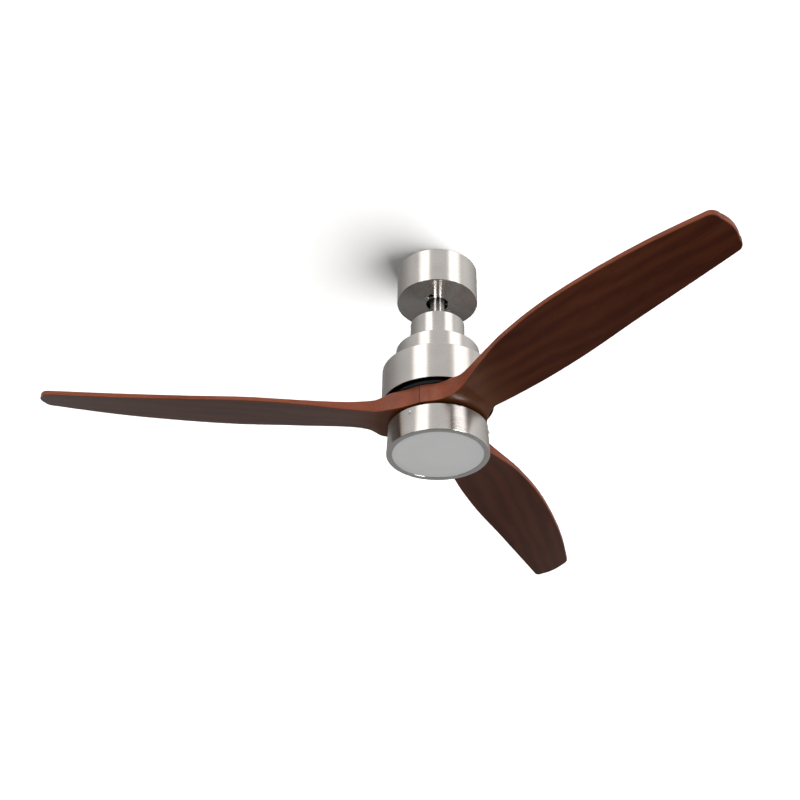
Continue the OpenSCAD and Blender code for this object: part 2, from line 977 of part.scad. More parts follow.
// Smooth value of column c at x, held constant inside the first station
function along(x, c) =
    let (
        i = station(x),
        a = blade_stations[i],
        b = blade_stations[i + 1],
        w = b[0] - a[0],
        t = max(0, (x - a[0]) / w),
        rise = i == 0 ? 0 : slope(i, c)
    )
    a[c] * (2 * t * t * t - 3 * t * t + 1) + b[c] * (3 * t * t - 2 * t * t * t)
    + rise * w * (t * t * t - 2 * t * t + t) + slope(i + 1, c) * w * (t * t * t - t * t);

function polar(r, a) = [r * cos(a), r * sin(a)];
function curve(p, q, r, t) = (1 - t) * (1 - t) * p + 2 * t * (1 - t) * q + t * t * r;
function mix(a, b, t) = a + (b - a) * t;

lead_end = [root_x, along(root_x, 1)];
trail_end = [root_x, along(root_x, 4)];

// Edge of the hub blend at s = 0 to 1: round the hub circle, then out into the blade
function hub_edge(seam, blend, knee, end, s) =
    s < 0.2 ? polar(hub_r, mix(seam, blend, s / 0.2))
            : curve(polar(hub_r, blend), knee, end, (s - 0.2) / 0.8);

function angle_of(p) = atan2(p[1], p[0]);

// Every section is [leading point, trailing point, bulge, rounds as polar], from the hole to the tip
hub_sections = [
    for (r = [hub_hole_r, (hub_hole_r + hub_r) / 2])
        [polar(r, seam_lead + seam_gap), polar(r, seam_trail - seam_gap), 0, true],
    for (k = [0 : hub_steps])
        let (s = k / hub_steps)
        [
            hub_edge(seam_lead + seam_gap, blend_lead, lead_knee, lead_end, s),
            hub_edge(seam_trail - seam_gap, blend_trail, trail_knee, trail_end, s),
            44 * s * (1 - s) - 7 * s, true
        ]
];

straight_end = tip_x - tip_crown - tip_corner_r;

function tip_inset(t) = tip_corner_r * (1 - sqrt(1 - t * t));

blade_sections = [
    for (k = [1 : span_steps])
        let (x = mix(root_x, straight_end, k / span_steps))
        [[x, along(x, 1)], [x, along(x, 4)], tip_crown * pow(k / span_steps, 8), false],
    for (k = [1 : tip_steps])
        let (
            t = sin(90 * k / tip_steps),
            x = straight_end + tip_corner_r * t,
            inset = min(tip_inset(t), tip_corner_r * 0.96)
        )
        [[x, along(x, 1) + inset], [x, along(x, 4) - inset], tip_crown, false]
];

sections = concat(hub_sections, blade_sections);

function section_point(s, v) =
    s[3]
    ? polar(
        mix(norm(s[0]), norm(s[1]), v) + s[2] * 4 * v * (1 - v),
        mix(angle_of(s[0]), angle_of(s[1]), v)
    )
    : mix(s[0], s[1], v) + [s[2] * 4 * v * (1 - v), 0];

function fade(x, a, b) = let (t = min(1, max(0, (x - a) / (b - a)))) t * t * (3 - 2 * t);

function undercut(s, v) =
    root_undercut * fade(s[0][0], 84, 112) * (1 - fade(s[0][0], 110, 230)) * (1 - v) * (1 - v);

function bottom_z(s, v) = mix(along(s[0][0], 2), along(s[1][0], 5), v);
function thickness(s, v) =
    mix(along(s[0][0], 3), along(s[1][0], 6), v)
    + top_crown * fade(s[0][0], 100, 200) * 4 * v * (1 - v);

module blade(turn) {
    n = chord_steps + 1;
    m = len(sections);
    lower = [
        for (s = sections)
            for (j = [0 : chord_steps])
                let (v = j / chord_steps, p = section_point(s, v))
                [p[0], p[1] + undercut(s, v), bottom_z(s, v)]
    ];
    upper = [
        for (s = sections)
            for (j = [0 : chord_steps])
                let (v = j / chord_steps, p = section_point(s, v))
                [p[0], p[1], bottom_z(s, v) + thickness(s, v)]
    ];
    u = m * n;
    lower_faces = [
        for (i = [0 : m - 2])
            for (j = [0 : n - 2])
                let (a = i * n + j)
                each [[a, a + 1, a + n], [a + 1, a + n + 1, a + n]]
    ];
    upper_faces = [for (f = lower_faces) [f[0] + u, f[2] + u, f[1] + u]];
    side_faces = [
        for (i = [0 : m - 2])
            let (a = i * n, b = a + n - 1)
            each [
                [a, a + n, a + u], [a + n, a + n + u, a + u],
                [b, b + u, b + n], [b + n, b + u, b + n + u]
            ]
    ];
    end_faces = [
        for (j = [0 : n - 2])
            let (a = j, b = (m - 1) * n + j)
            each [
                [a, a + u, a + 1], [a + 1, a + u, a + 1 + u],
                [b, b + 1, b + u], [b + 1, b + 1 + u, b + u]
            ]
    ];
    middle = (seam_lead + seam_trail) / 2;
    rotate([0, 0, turn])
        difference() {
            polyhedron(concat(lower, upper), concat(lower_faces, upper_faces, side_faces, end_faces));
            for (t = blade_bolt_turns)
                rotate([0, 0, middle + t])
                    translate([blade_bolt_r, 0, -hub_top - hub_thick - 1])
                        cylinder(r = m4_r + 0.1, h = hub_thick + 2, $fn = 32);
        }
}

module blade_1() {
    color("saddlebrown")
        blade(blade_angle);
}

module blade_2() {
    color("saddlebrown")
        blade(blade_angle + blade_pitch_angle);
}

module blade_3() {
    color("saddlebrown")
        blade(blade_angle + 2 * blade_pitch_angle);
}

// ---------------------------------------------------------------- lamp

module lamp_mount_plate() {
    tab_r = mount_plate_r + 3.6;
    color("dimgray")
        difference() {
            union() {
                translate([0, 0, mount_plate_z - mount_plate_t])
                    cylinder(r = mount_plate_r, h = mount_plate_t);
                for (i = [0 : 2])
                    rotate([0, 0, lamp_screw_angle + i * 120])
                        translate([mount_plate_r - 4, -7, lamp_screw_z - 5])
                            cube([tab_r - mount_plate_r + 4, 14, mount_plate_z - lamp_screw_z + 5]);
            }
            translate([0, 0, mount_plate_z - mount_plate_t - 1])
                cylinder(r = shaft_r + gap, h = mount_plate_t + 2);
            ring_of(3, 60, lamp_screw_angle + 60)
                translate([0, 0, mount_plate_z - mount_plate_t - 1])
                    cylinder(r = 1.7, h = mount_plate_t + 2, $fn = 32);
            for (i = [0 : 2])
                rotate([0, 0, lamp_screw_angle + i * 120])
                    translate([mount_plate_r - 6, 0, lamp_screw_z])
                        rotate([0, 90, 0])
                            cylinder(r = 1.5, h = 20, $fn = 32);
        }
}

module lamp_cup() {
    wall = 1.6;
    top_lip_r = 60;
    color("lightgray")
        difference() {
            rotate_extrude($fn = 160)
                polygon([
                    [top_lip_r, -lamp_top], [lamp_top_r, -lamp_top], [lamp_bottom_r, -lamp_bottom],
                    [diffuser_r + 0.2, -lamp_bottom], [diffuser_r + 0.2, -lamp_bottom + 1.5],
                    [lamp_bottom_r - wall, -lamp_bottom + 1.5], [lamp_top_r - wall, -lamp_top - 1.5],
                    [top_lip_r, -lamp_top - 1.5]
                ]);
            for (i = [0 : 2])
                rotate([0, 0, lamp_screw_angle + i * 120])
                    translate([mount_plate_r, 0, lamp_screw_z])
                        rotate([0, 90, 0])
                            cylinder(r = 1.7, h = 20, $fn = 32);
        }
}

module lamp_screws() {
    seat = lamp_top_r + (lamp_bottom_r - lamp_top_r) * (-lamp_screw_z - lamp_top) / (lamp_bottom - lamp_top);
    color("silver")
        for (i = [0 : 2])
            rotate([0, 0, lamp_screw_angle + i * 120])
                translate([seat + 0.15, 0, lamp_screw_z])
                    rotate([0, 90, 0])
                        pan_screw(1.5, 7.5, 2.8, 1.9);
}

module sink_standoffs() {
    color("silver")
        ring_of(3, 60, lamp_screw_angle + 60)
            translate([0, 0, sink_z + 3]) {
                cylinder(r = 3.5, h = mount_plate_z - mount_plate_t - sink_z - 3, $fn = 6);
                cylinder(r = 1.6, h = mount_plate_z - sink_z - 3, $fn = 32);
            }
}

module led_heat_sink() {
    color("gainsboro")
        difference() {
            union() {
                translate([0, 0, sink_z])
                    cylinder(r = sink_r, h = 3);
                for (y = [-42 : 6 : -20])
                    translate([-45, y, sink_z + 2])
                        cube([90, 1.6, 9]);
            }
            translate([28, 0, sink_z - 1])
                cylinder(r = 4, h = 6, $fn = 48);
        }
}

module led_driver() {
    color("white")
        difference() {
            translate([-20, 16, sink_z + 3])
                cube([40, 30, 16]);
            for (x = [-1.6, 1.6])
                translate([x, 14, sink_z + 11])
                    rotate([-90, 0, 0])
                        cylinder(r = 1.3, h = 8, $fn = 24);
        }
}

module lamp_leads() {
    color("black")
        for (x = [-1.6, 1.6])
            wire(x, [
                [27.2, -192.4], [28, -184], [28, -175], [24.5, -168.5], [19.5, -164.8], [13, -164],
                [6, -163.6], [3.4, -165], [2.8, -168], [2.8, -350], [4, -356], [8, -359], [15, -360]
            ], 0.8);
}

module led_board() {
    color("white")
        difference() {
            translate([0, 0, sink_z - led_board_t])
                cylinder(r = 74, h = led_board_t);
            translate([28, 0, sink_z - led_board_t - 1])
                cylinder(r = 4, h = led_board_t + 2, $fn = 48);
        }
}

module led_chips() {
    color("khaki")
        for (ring = led_rings)
            ring_of(ring[1], ring[0], 180 / ring[1])
                translate([-1.5, -1.5, sink_z - led_board_t - 0.9])
                    cube([3, 3, 0.9]);
}

module light_reflector() {
    color("white")
        rotate_extrude()
            polygon([
                [74.3, sink_z], [75.5, sink_z], [82.5, -lamp_bottom + 3], [80, -lamp_bottom + 3],
                [74.3, sink_z - 4]
            ]);
}

module diffuser() {
    lip = lamp_bottom - 1.5;
    color("whitesmoke")
        rotate_extrude($fn = 160)
            polygon([
                [0, -lamp_bottom + 0.8], [diffuser_r, -lamp_bottom + 0.8], [diffuser_r, -lip],
                [84, -lip], [84, -lip + 1.5], [0, -lip + 1.5]
            ]);
}

// ---------------------------------------------------------------- assembly

ceiling_bracket();
canopy();
canopy_screws();
terminal_block();
earth_screw();
seat_liner();
hanger_ball();
ball_pin();
downrod();
supply_leads();
lead_plug();
motor_coupling();
clevis_pin();
clevis_clip();
set_screws();
coupling_cover();
driver_housing();
motor_housing();
hanger_plate();
housing_screws();
driver_board();
board_parts();
board_standoffs();
stator_shaft();
shaft_nuts();
shaft_spacers();
shaft_circlip();
stator_hub();
stator_core();
stator_windings();
motor_leads();
upper_inner_ring();
lower_inner_ring();
lamp_mount_plate();
lamp_cup();
lamp_screws();
sink_standoffs();
led_heat_sink();
led_driver();
lamp_leads();
led_board();
led_chips();
light_reflector();
diffuser();
rotor_upper_cover();
rotor_lower_cover();
rotor_screws();
back_iron();
magnets();
upper_outer_ring();
lower_outer_ring();
blade_gasket();
blade_1();
blade_2();
blade_3();
blade_clamp_plate();
blade_screws();
upper_bearing_cage();
lower_bearing_cage();
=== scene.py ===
"""Ceiling fan with light: the looks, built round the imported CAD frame.

The pieces that show are rebuilt here as fine meshes: spun metal shells with rounded edges, carved
wooden blades and screws with cross recesses. Every CAD piece that stays gets a worked material. The
frame is in metres with its origin on the ceiling face and +Z up; shapes are worked out in millimetres
and MM turns them into metres.
"""

import json
import math

import bmesh
import bpy
import numpy as np
from mathutils import Matrix, Vector, geometry

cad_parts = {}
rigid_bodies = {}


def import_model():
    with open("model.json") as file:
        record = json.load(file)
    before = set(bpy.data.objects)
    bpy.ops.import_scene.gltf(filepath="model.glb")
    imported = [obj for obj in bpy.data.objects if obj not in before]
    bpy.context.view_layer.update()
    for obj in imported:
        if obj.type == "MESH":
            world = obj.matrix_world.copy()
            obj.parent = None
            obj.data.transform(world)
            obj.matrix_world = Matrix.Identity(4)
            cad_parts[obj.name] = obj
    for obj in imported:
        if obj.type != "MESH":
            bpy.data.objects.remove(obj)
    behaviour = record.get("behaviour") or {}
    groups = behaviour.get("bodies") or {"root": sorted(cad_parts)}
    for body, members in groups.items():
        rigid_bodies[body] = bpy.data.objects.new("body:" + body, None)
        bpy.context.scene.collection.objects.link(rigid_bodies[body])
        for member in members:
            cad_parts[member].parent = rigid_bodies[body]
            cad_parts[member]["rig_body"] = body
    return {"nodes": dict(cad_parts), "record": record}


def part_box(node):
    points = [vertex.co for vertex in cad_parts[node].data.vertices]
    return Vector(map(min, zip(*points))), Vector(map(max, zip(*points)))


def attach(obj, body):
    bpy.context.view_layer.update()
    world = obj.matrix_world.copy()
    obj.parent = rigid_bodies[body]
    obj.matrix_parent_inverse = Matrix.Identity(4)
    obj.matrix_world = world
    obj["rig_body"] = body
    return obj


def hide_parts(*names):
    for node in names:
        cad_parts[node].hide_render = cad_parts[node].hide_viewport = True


MM = 0.001
AROUND = 224  # segments of a large turned piece

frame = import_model()
NODES = frame["nodes"]
SLOT_OF = {part["node"]: part["material_slot"] for part in frame["record"]["subparts"]}
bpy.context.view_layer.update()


# ---------------------------------------------------------------- materials


class Nodes:
    """An emptied node tree, with short calls for the kinds of node that the materials and world share."""

    def __init__(self, tree):
        self.tree = tree
        self.tree.nodes.clear()

    def add(self, kind, inputs=None, **settings):
        """A new node: settings are its properties, and inputs are numbers, colours or sockets."""
        node = self.tree.nodes.new(kind)
        for name, value in settings.items():
            setattr(node, name, value)
        for key, value in (inputs or {}).items():
            if isinstance(value, bpy.types.NodeSocket):
                self.tree.links.new(value, node.inputs[key])
            else:
                node.inputs[key].default_value = value
        return node

    def noise(self, vector, scale=1.0, detail=3.0, rough=0.55, warp=0.0):
        inputs = {"Vector": vector, "Scale": scale, "Detail": detail, "Roughness": rough, "Distortion": warp}
        return self.add("ShaderNodeTexNoise", inputs).outputs["Fac"]

    def maths(self, operation, a, b=0.0, c=0.0):
        node = self.add("ShaderNodeMath", operation=operation)
        for socket, value in zip(node.inputs, (a, b, c)):
            if isinstance(value, bpy.types.NodeSocket):
                self.tree.links.new(value, socket)
            else:
                socket.default_value = value
        return node.outputs[0]

    def levels(self, value, low, high, to_low=0.0, to_high=1.0):
        inputs = {"Value": value, "From Min": low, "From Max": high, "To Min": to_low, "To Max": to_high}
        return self.add("ShaderNodeMapRange", inputs).outputs["Result"]

    def ramp(self, value, *stops):
        """Colours at places from 0 to 1: each stop is (place, (r, g, b))."""
        node = self.add("ShaderNodeValToRGB", {"Fac": value})
        elements = node.color_ramp.elements
        while len(elements) < len(stops):
            elements.new(1.0)
        for element, (place, colour) in zip(elements, stops):
            element.position = place
            element.color = (*colour, 1.0)
        return node.outputs["Color"]

    def mix(self, share, a, b):
        """Two colours mixed by a share from 0 to 1."""
        node = self.add("ShaderNodeMix", data_type="RGBA", clamp_factor=True)
        for socket, value in zip((node.inputs[0], node.inputs[6], node.inputs[7]), (share, a, b)):
            if isinstance(value, bpy.types.NodeSocket):
                self.tree.links.new(value, socket)
            elif isinstance(value, tuple):
                socket.default_value = (*value, 1.0)
            else:
                socket.default_value = value
        return node.outputs[2]


class Finish(Nodes):
    """A material with one surface shader, its coordinates and its vertex marks."""

    def __init__(self, name):
        self.material = bpy.data.materials.new(name)
        self.material.use_nodes = True
        super().__init__(self.material.node_tree)
        self.shader = self.add("ShaderNodeBsdfPrincipled")
        output = self.add("ShaderNodeOutputMaterial")
        self.tree.links.new(self.shader.outputs["BSDF"], output.inputs["Surface"])
        self.place = self.add("ShaderNodeTexCoord").outputs["Object"]

    def scaled(self, scale, vector=None, turn=(0, 0, 0), shift=(0, 0, 0)):
        """Coordinates scaled by a number each way, after a turn and a shift."""
        inputs = {"Vector": vector or self.place, "Scale": scale, "Rotation": turn, "Location": shift}
        return self.add("ShaderNodeMapping", inputs).outputs["Vector"]

    def mark(self, name):
        """A number that the mesh code stored on each vertex, such as the share of a rounded edge that takes
        rubbing and a painted highlight.
        """
        return self.add("ShaderNodeAttribute", attribute_name=name).outputs["Fac"]

    def bump(self, height, strength, distance, below=None):
        inputs = {"Height": height, "Strength": strength, "Distance": distance}
        if below is not None:
            inputs["Normal"] = below
        return self.add("ShaderNodeBump", inputs).outputs["Normal"]

    def set(self, **values):
        """Sets the surface's own sockets: names have _ for a space."""
        for key, value in values.items():
            socket = self.shader.inputs[key.replace("_", " ")]
            if isinstance(value, bpy.types.NodeSocket):
                self.tree.links.new(value, socket)
            elif isinstance(value, tuple) and len(value) == 3 and socket.type == "RGBA":
                socket.default_value = (*value, 1.0)
            else:
                socket.default_value = value


def tint(colour, factor):
    return tuple(min(1.0, c * factor) for c in colour)


def around_axis(finish, slow, fast):
    """Coordinates for lines that run round the fan's axis: slow along them, fast across them."""
    parts = finish.add("ShaderNodeSeparateXYZ", {"Vector": finish.place}).outputs
    flat = finish.add("ShaderNodeCombineXYZ", {"X": parts["X"], "Y": parts["Y"]}).outputs[0]
    reach = finish.add("ShaderNodeVectorMath", {0: flat}, operation="LENGTH").outputs["Value"]
    unit = finish.add("ShaderNodeVectorMath", {0: flat}, operation="NORMALIZE").outputs[0]
    ends = finish.add("ShaderNodeSeparateXYZ", {"Vector": unit}).outputs
    across = finish.maths("MULTIPLY", finish.maths("ADD", reach, parts["Z"]), fast)
    inputs = {"X": finish.maths("MULTIPLY", ends["X"], slow), "Y": finish.maths("MULTIPLY", ends["Y"], slow)}
    return finish.add("ShaderNodeCombineXYZ", {**inputs, "Z": across}).outputs[0]


def brushed_metal(name, colour, rough=0.3, grain=1.0):
    """Metal brushed round the axis: fine lines, broad streaks, faint smudges, and rounded edges rubbed
    smoother with a painted highlight of brighter colour.
    """
    f = Finish(name)
    fine = f.noise(around_axis(f, 5.0, 2600.0 * grain), detail=4.0, rough=0.7)
    broad = f.noise(around_axis(f, 2.2, 620.0 * grain), detail=3.0)
    smudge = f.noise(f.place, scale=24.0, detail=4.0, rough=0.6)
    streak = f.maths("ADD", f.maths("MULTIPLY", fine, 0.6), f.maths("MULTIPLY", broad, 0.4))
    body = f.ramp(streak, (0.3, tint(colour, 0.93)), (0.5, colour), (0.72, tint(colour, 1.06)))
    dulled = f.mix(f.levels(smudge, 0.35, 0.75, 0.0, 0.22), body, tint(colour, 0.86))
    # a brighter colour along the middle of each rounded edge: a painted highlight
    f.set(Base_Color=f.mix(f.maths("MULTIPLY", f.mark("wear_and_glint"), 0.55), dulled, tint(colour, 1.22)))
    spread = f.maths("ADD", f.levels(streak, 0.3, 0.7, rough - 0.035, rough + 0.035),
                     f.levels(smudge, 0.3, 0.8, -0.02, 0.04))
    f.set(Metallic=1.0, Roughness=f.maths("SUBTRACT", spread, f.maths("MULTIPLY", f.mark("wear_and_glint"), 0.07)))
    f.set(Anisotropic=1.0, Anisotropic_Rotation=0.25)
    f.set(Tangent=f.add("ShaderNodeTangent", direction_type="RADIAL", axis="Z").outputs[0])
    f.set(Normal=f.bump(fine, 0.035, 0.02 * MM, f.bump(broad, 0.012, 0.03 * MM)))
    return f.material


def plain_metal(name, colour, rough=0.35, grit=900.0, mottle=0.12):
    """Plated, ground or cast metal: grain, mottling, a few rubbed marks and bright edges."""
    f = Finish(name)
    grain = f.noise(f.place, scale=grit, detail=3.0)
    cloud = f.noise(f.place, scale=70.0, detail=4.0, rough=0.6, warp=0.4)
    rubbed = f.noise(f.scaled((900.0, 60.0, 60.0), turn=(0.3, 0.5, 0.7)), detail=2.0)
    body = f.ramp(cloud, (0.3, tint(colour, 1 - mottle)), (0.55, colour), (0.8, tint(colour, 1 + mottle)))
    edge = f.levels(f.add("ShaderNodeNewGeometry").outputs["Pointiness"], 0.505, 0.56)
    f.set(Base_Color=f.mix(f.maths("MULTIPLY", edge, 0.5), body, tint(colour, 1.35)), Metallic=1.0)
    f.set(Roughness=f.maths("ADD", f.levels(grain, 0.25, 0.75, rough - 0.07, rough + 0.07),
                            f.levels(rubbed, 0.55, 0.8, 0.0, 0.08)))
    f.set(Normal=f.bump(grain, 0.12, 0.05 * MM))
    return f.material


def coated(name, colour, rough=0.4, grit=700.0, sheen_coat=0.0, dust=0.25, shine=0.5):
    """Paint, plastic or rubber: fine grain in the surface, slight fading, dust and rubbed edges."""
    f = Finish(name)
    grain = f.noise(f.place, scale=grit, detail=3.0, rough=0.6)
    cloud = f.noise(f.place, scale=45.0, detail=4.0)
    specks = f.levels(f.noise(f.place, scale=2200.0, detail=1.0), 0.68, 0.74)
    body = f.ramp(cloud, (0.3, tint(colour, 0.86)), (0.6, colour), (0.85, tint(colour, 1.12)))
    edge = f.levels(f.add("ShaderNodeNewGeometry").outputs["Pointiness"], 0.505, 0.57)
    worn = f.mix(f.maths("MULTIPLY", edge, 0.35), body, tuple(c * 0.8 + 0.12 for c in colour))
    pale = tuple(c * 0.6 + 0.3 for c in colour)
    f.set(Base_Color=f.mix(f.maths("MULTIPLY", specks, dust), worn, pale))
    f.set(Roughness=f.levels(grain, 0.25, 0.75, rough - 0.06, rough + 0.08))
    f.set(Coat_Weight=sheen_coat, Coat_Roughness=0.15, Specular_IOR_Level=shine)
    f.set(Normal=f.bump(grain, 0.15, 0.04 * MM))
    return f.material


NEAR_HUB = (90 * MM, 210 * MM)  # the wood's faces are mixed towards a lighter, warmer brown near the hub, and keep their own colour past here
ROOT_WOOD = (0.110, 0.0370, 0.0090)
PORE_WOOD = (0.014, 0.0040, 0.0025)
EDGE_GLINT_WOOD = (0.330, 0.1050, 0.0450)


def walnut(name, offset):
    """Lacquered walnut. The grain runs along the piece's own X axis, and offset picks another board."""
    f = Finish(name)
    board = f.scaled((1.0, 1.0, 1.0), shift=(offset, 0.37 * offset, 0.11 * offset))
    drift = f.noise(f.scaled((2.2, 9.0, 9.0), board), detail=2.0)
    centred = f.add("ShaderNodeVectorMath", {0: f.add("ShaderNodeCombineXYZ", {"Y": drift}).outputs[0],
                                              1: (0.0, 0.055, 0.0)}, operation="MULTIPLY").outputs[0]
    wavy = f.add("ShaderNodeVectorMath", {0: board, 1: centred}, operation="ADD").outputs[0]
    rings = f.add("ShaderNodeTexWave", {"Vector": f.scaled((0.35, 1.0, 1.6), wavy), "Scale": 11.0,
                                        "Distortion": 5.5, "Detail": 3.0, "Detail Scale": 1.4},
                  bands_direction="Y").outputs["Fac"]
    fibre = f.noise(f.scaled((9.0, 620.0, 620.0), wavy), detail=5.0, rough=0.65)
    pores = f.levels(f.noise(f.scaled((55.0, 1500.0, 1500.0), wavy), detail=2.0), 0.6, 0.72)
    patches = f.noise(f.scaled((3.5, 16.0, 16.0), wavy), detail=3.0, rough=0.6)

    tone = f.maths("ADD", f.maths("MULTIPLY", rings, 0.16), f.maths("MULTIPLY", fibre, 0.48))
    tone = f.maths("ADD", tone, f.maths("MULTIPLY", patches, 0.42))
    face = f.ramp(tone, (0.30, (0.034, 0.0072, 0.0028)), (0.50, (0.062, 0.0138, 0.0048)),
                  (0.64, (0.082, 0.0200, 0.0066)), (0.85, (0.115, 0.0320, 0.0110)))
    along_blade = f.add("ShaderNodeSeparateXYZ", {"Vector": f.place}).outputs["X"]
    near_hub = f.levels(along_blade, *NEAR_HUB, 0.55, 0.0)
    face = f.mix(near_hub, face, ROOT_WOOD)
    # painted light: the sides get this lighter copy of the walnut and the faces the darker one above, as if
    # the sides were lit from in front and the faces lay in shade
    edge = f.ramp(tone, (0.30, (0.125, 0.0220, 0.0070)), (0.52, (0.215, 0.0430, 0.0130)),
                  (0.85, (0.330, 0.0820, 0.0260)))
    colour = f.mix(f.mark("side"), face, edge)
    colour = f.mix(f.maths("MULTIPLY", pores, 0.6), colour, PORE_WOOD)
    # a lighter colour along the middle of each rounded edge: a painted highlight
    colour = f.mix(f.maths("MULTIPLY", f.mark("wear_and_glint"), 0.35), colour, EDGE_GLINT_WOOD)
    f.set(Base_Color=colour, Roughness=f.levels(fibre, 0.2, 0.8, 0.30, 0.42))
    f.set(Specular_IOR_Level=0.33)
    grain = f.maths("SUBTRACT", f.maths("MULTIPLY", fibre, 0.6), pores)
    f.set(Normal=f.bump(grain, 0.18, 0.12 * MM))
    return f.material


def opal(name):
    """Unlit opal acrylic: soft body, a fine satin grain and a faint darker border."""
    f = Finish(name)
    parts = f.add("ShaderNodeSeparateXYZ", {"Vector": f.place}).outputs
    flat = f.add("ShaderNodeCombineXYZ", {"X": parts["X"], "Y": parts["Y"]}).outputs[0]
    reach = f.add("ShaderNodeVectorMath", {0: flat}, operation="LENGTH").outputs["Value"]
    border = f.levels(reach, 66.0 * MM, 78.0 * MM)
    cloud = f.noise(f.place, scale=14.0, detail=2.0)
    body = f.ramp(cloud, (0.3, (0.700, 0.712, 0.715)), (0.7, (0.745, 0.757, 0.760)))
    f.set(Base_Color=f.mix(f.maths("MULTIPLY", border, 0.5), body, (0.62, 0.64, 0.64)))
    grain = f.noise(f.place, scale=1500.0, detail=2.0)
    f.set(Roughness=f.levels(grain, 0.3, 0.7, 0.42, 0.55), Subsurface_Weight=0.15)
    f.set(Subsurface_Radius=(0.004, 0.004, 0.004), Subsurface_Scale=1.0)
    f.set(Normal=f.bump(grain, 0.06, 0.02 * MM))
    return f.material


def laminated(name, colour):
    """A stack of thin sheets: dark joints every half millimetre up the stack."""
    f = Finish(name)
    height = f.add("ShaderNodeSeparateXYZ", {"Vector": f.place}).outputs["Z"]
    sheet = f.maths("PINGPONG", f.maths("MULTIPLY", height, 2000.0), 0.5)
    joint = f.levels(sheet, 0.0, 0.22)
    cloud = f.noise(f.place, scale=90.0, detail=4.0)
    body = f.ramp(cloud, (0.3, tint(colour, 0.8)), (0.7, tint(colour, 1.15)))
    f.set(Base_Color=f.mix(joint, tint(colour, 0.25), body), Metallic=1.0)
    f.set(Roughness=f.levels(cloud, 0.3, 0.7, 0.42, 0.58), Normal=f.bump(joint, 0.5, 0.1 * MM))
    return f.material


def circuit(name, resist, trace):
    """A circuit board: solder resist over faint tracks, with small bright pads."""
    f = Finish(name)
    cells = f.add("ShaderNodeTexVoronoi", {"Vector": f.place, "Scale": 130.0}, feature="F1",
                  distance="CHEBYCHEV")
    pads = f.levels(cells.outputs["Distance"], 0.16, 0.13)
    walls = f.add("ShaderNodeTexVoronoi", {"Vector": f.place, "Scale": 130.0}, feature="F2",
                  distance="MANHATTAN").outputs["Distance"]
    tracks = f.levels(f.maths("PINGPONG", f.maths("MULTIPLY", walls, 6.0), 0.5), 0.3, 0.36)
    cloud = f.noise(f.place, scale=60.0, detail=3.0)
    body = f.ramp(cloud, (0.3, tint(resist, 0.85)), (0.7, tint(resist, 1.1)))
    f.set(Base_Color=f.mix(pads, f.mix(f.maths("MULTIPLY", tracks, 0.5), body, trace), (0.72, 0.70, 0.66)))
    f.set(Metallic=f.maths("MULTIPLY", pads, 0.9), Roughness=f.levels(cloud, 0.3, 0.7, 0.25, 0.4))
    f.set(Coat_Weight=0.3, Normal=f.bump(f.maths("ADD", tracks, pads), 0.3, 0.06 * MM))
    return f.material


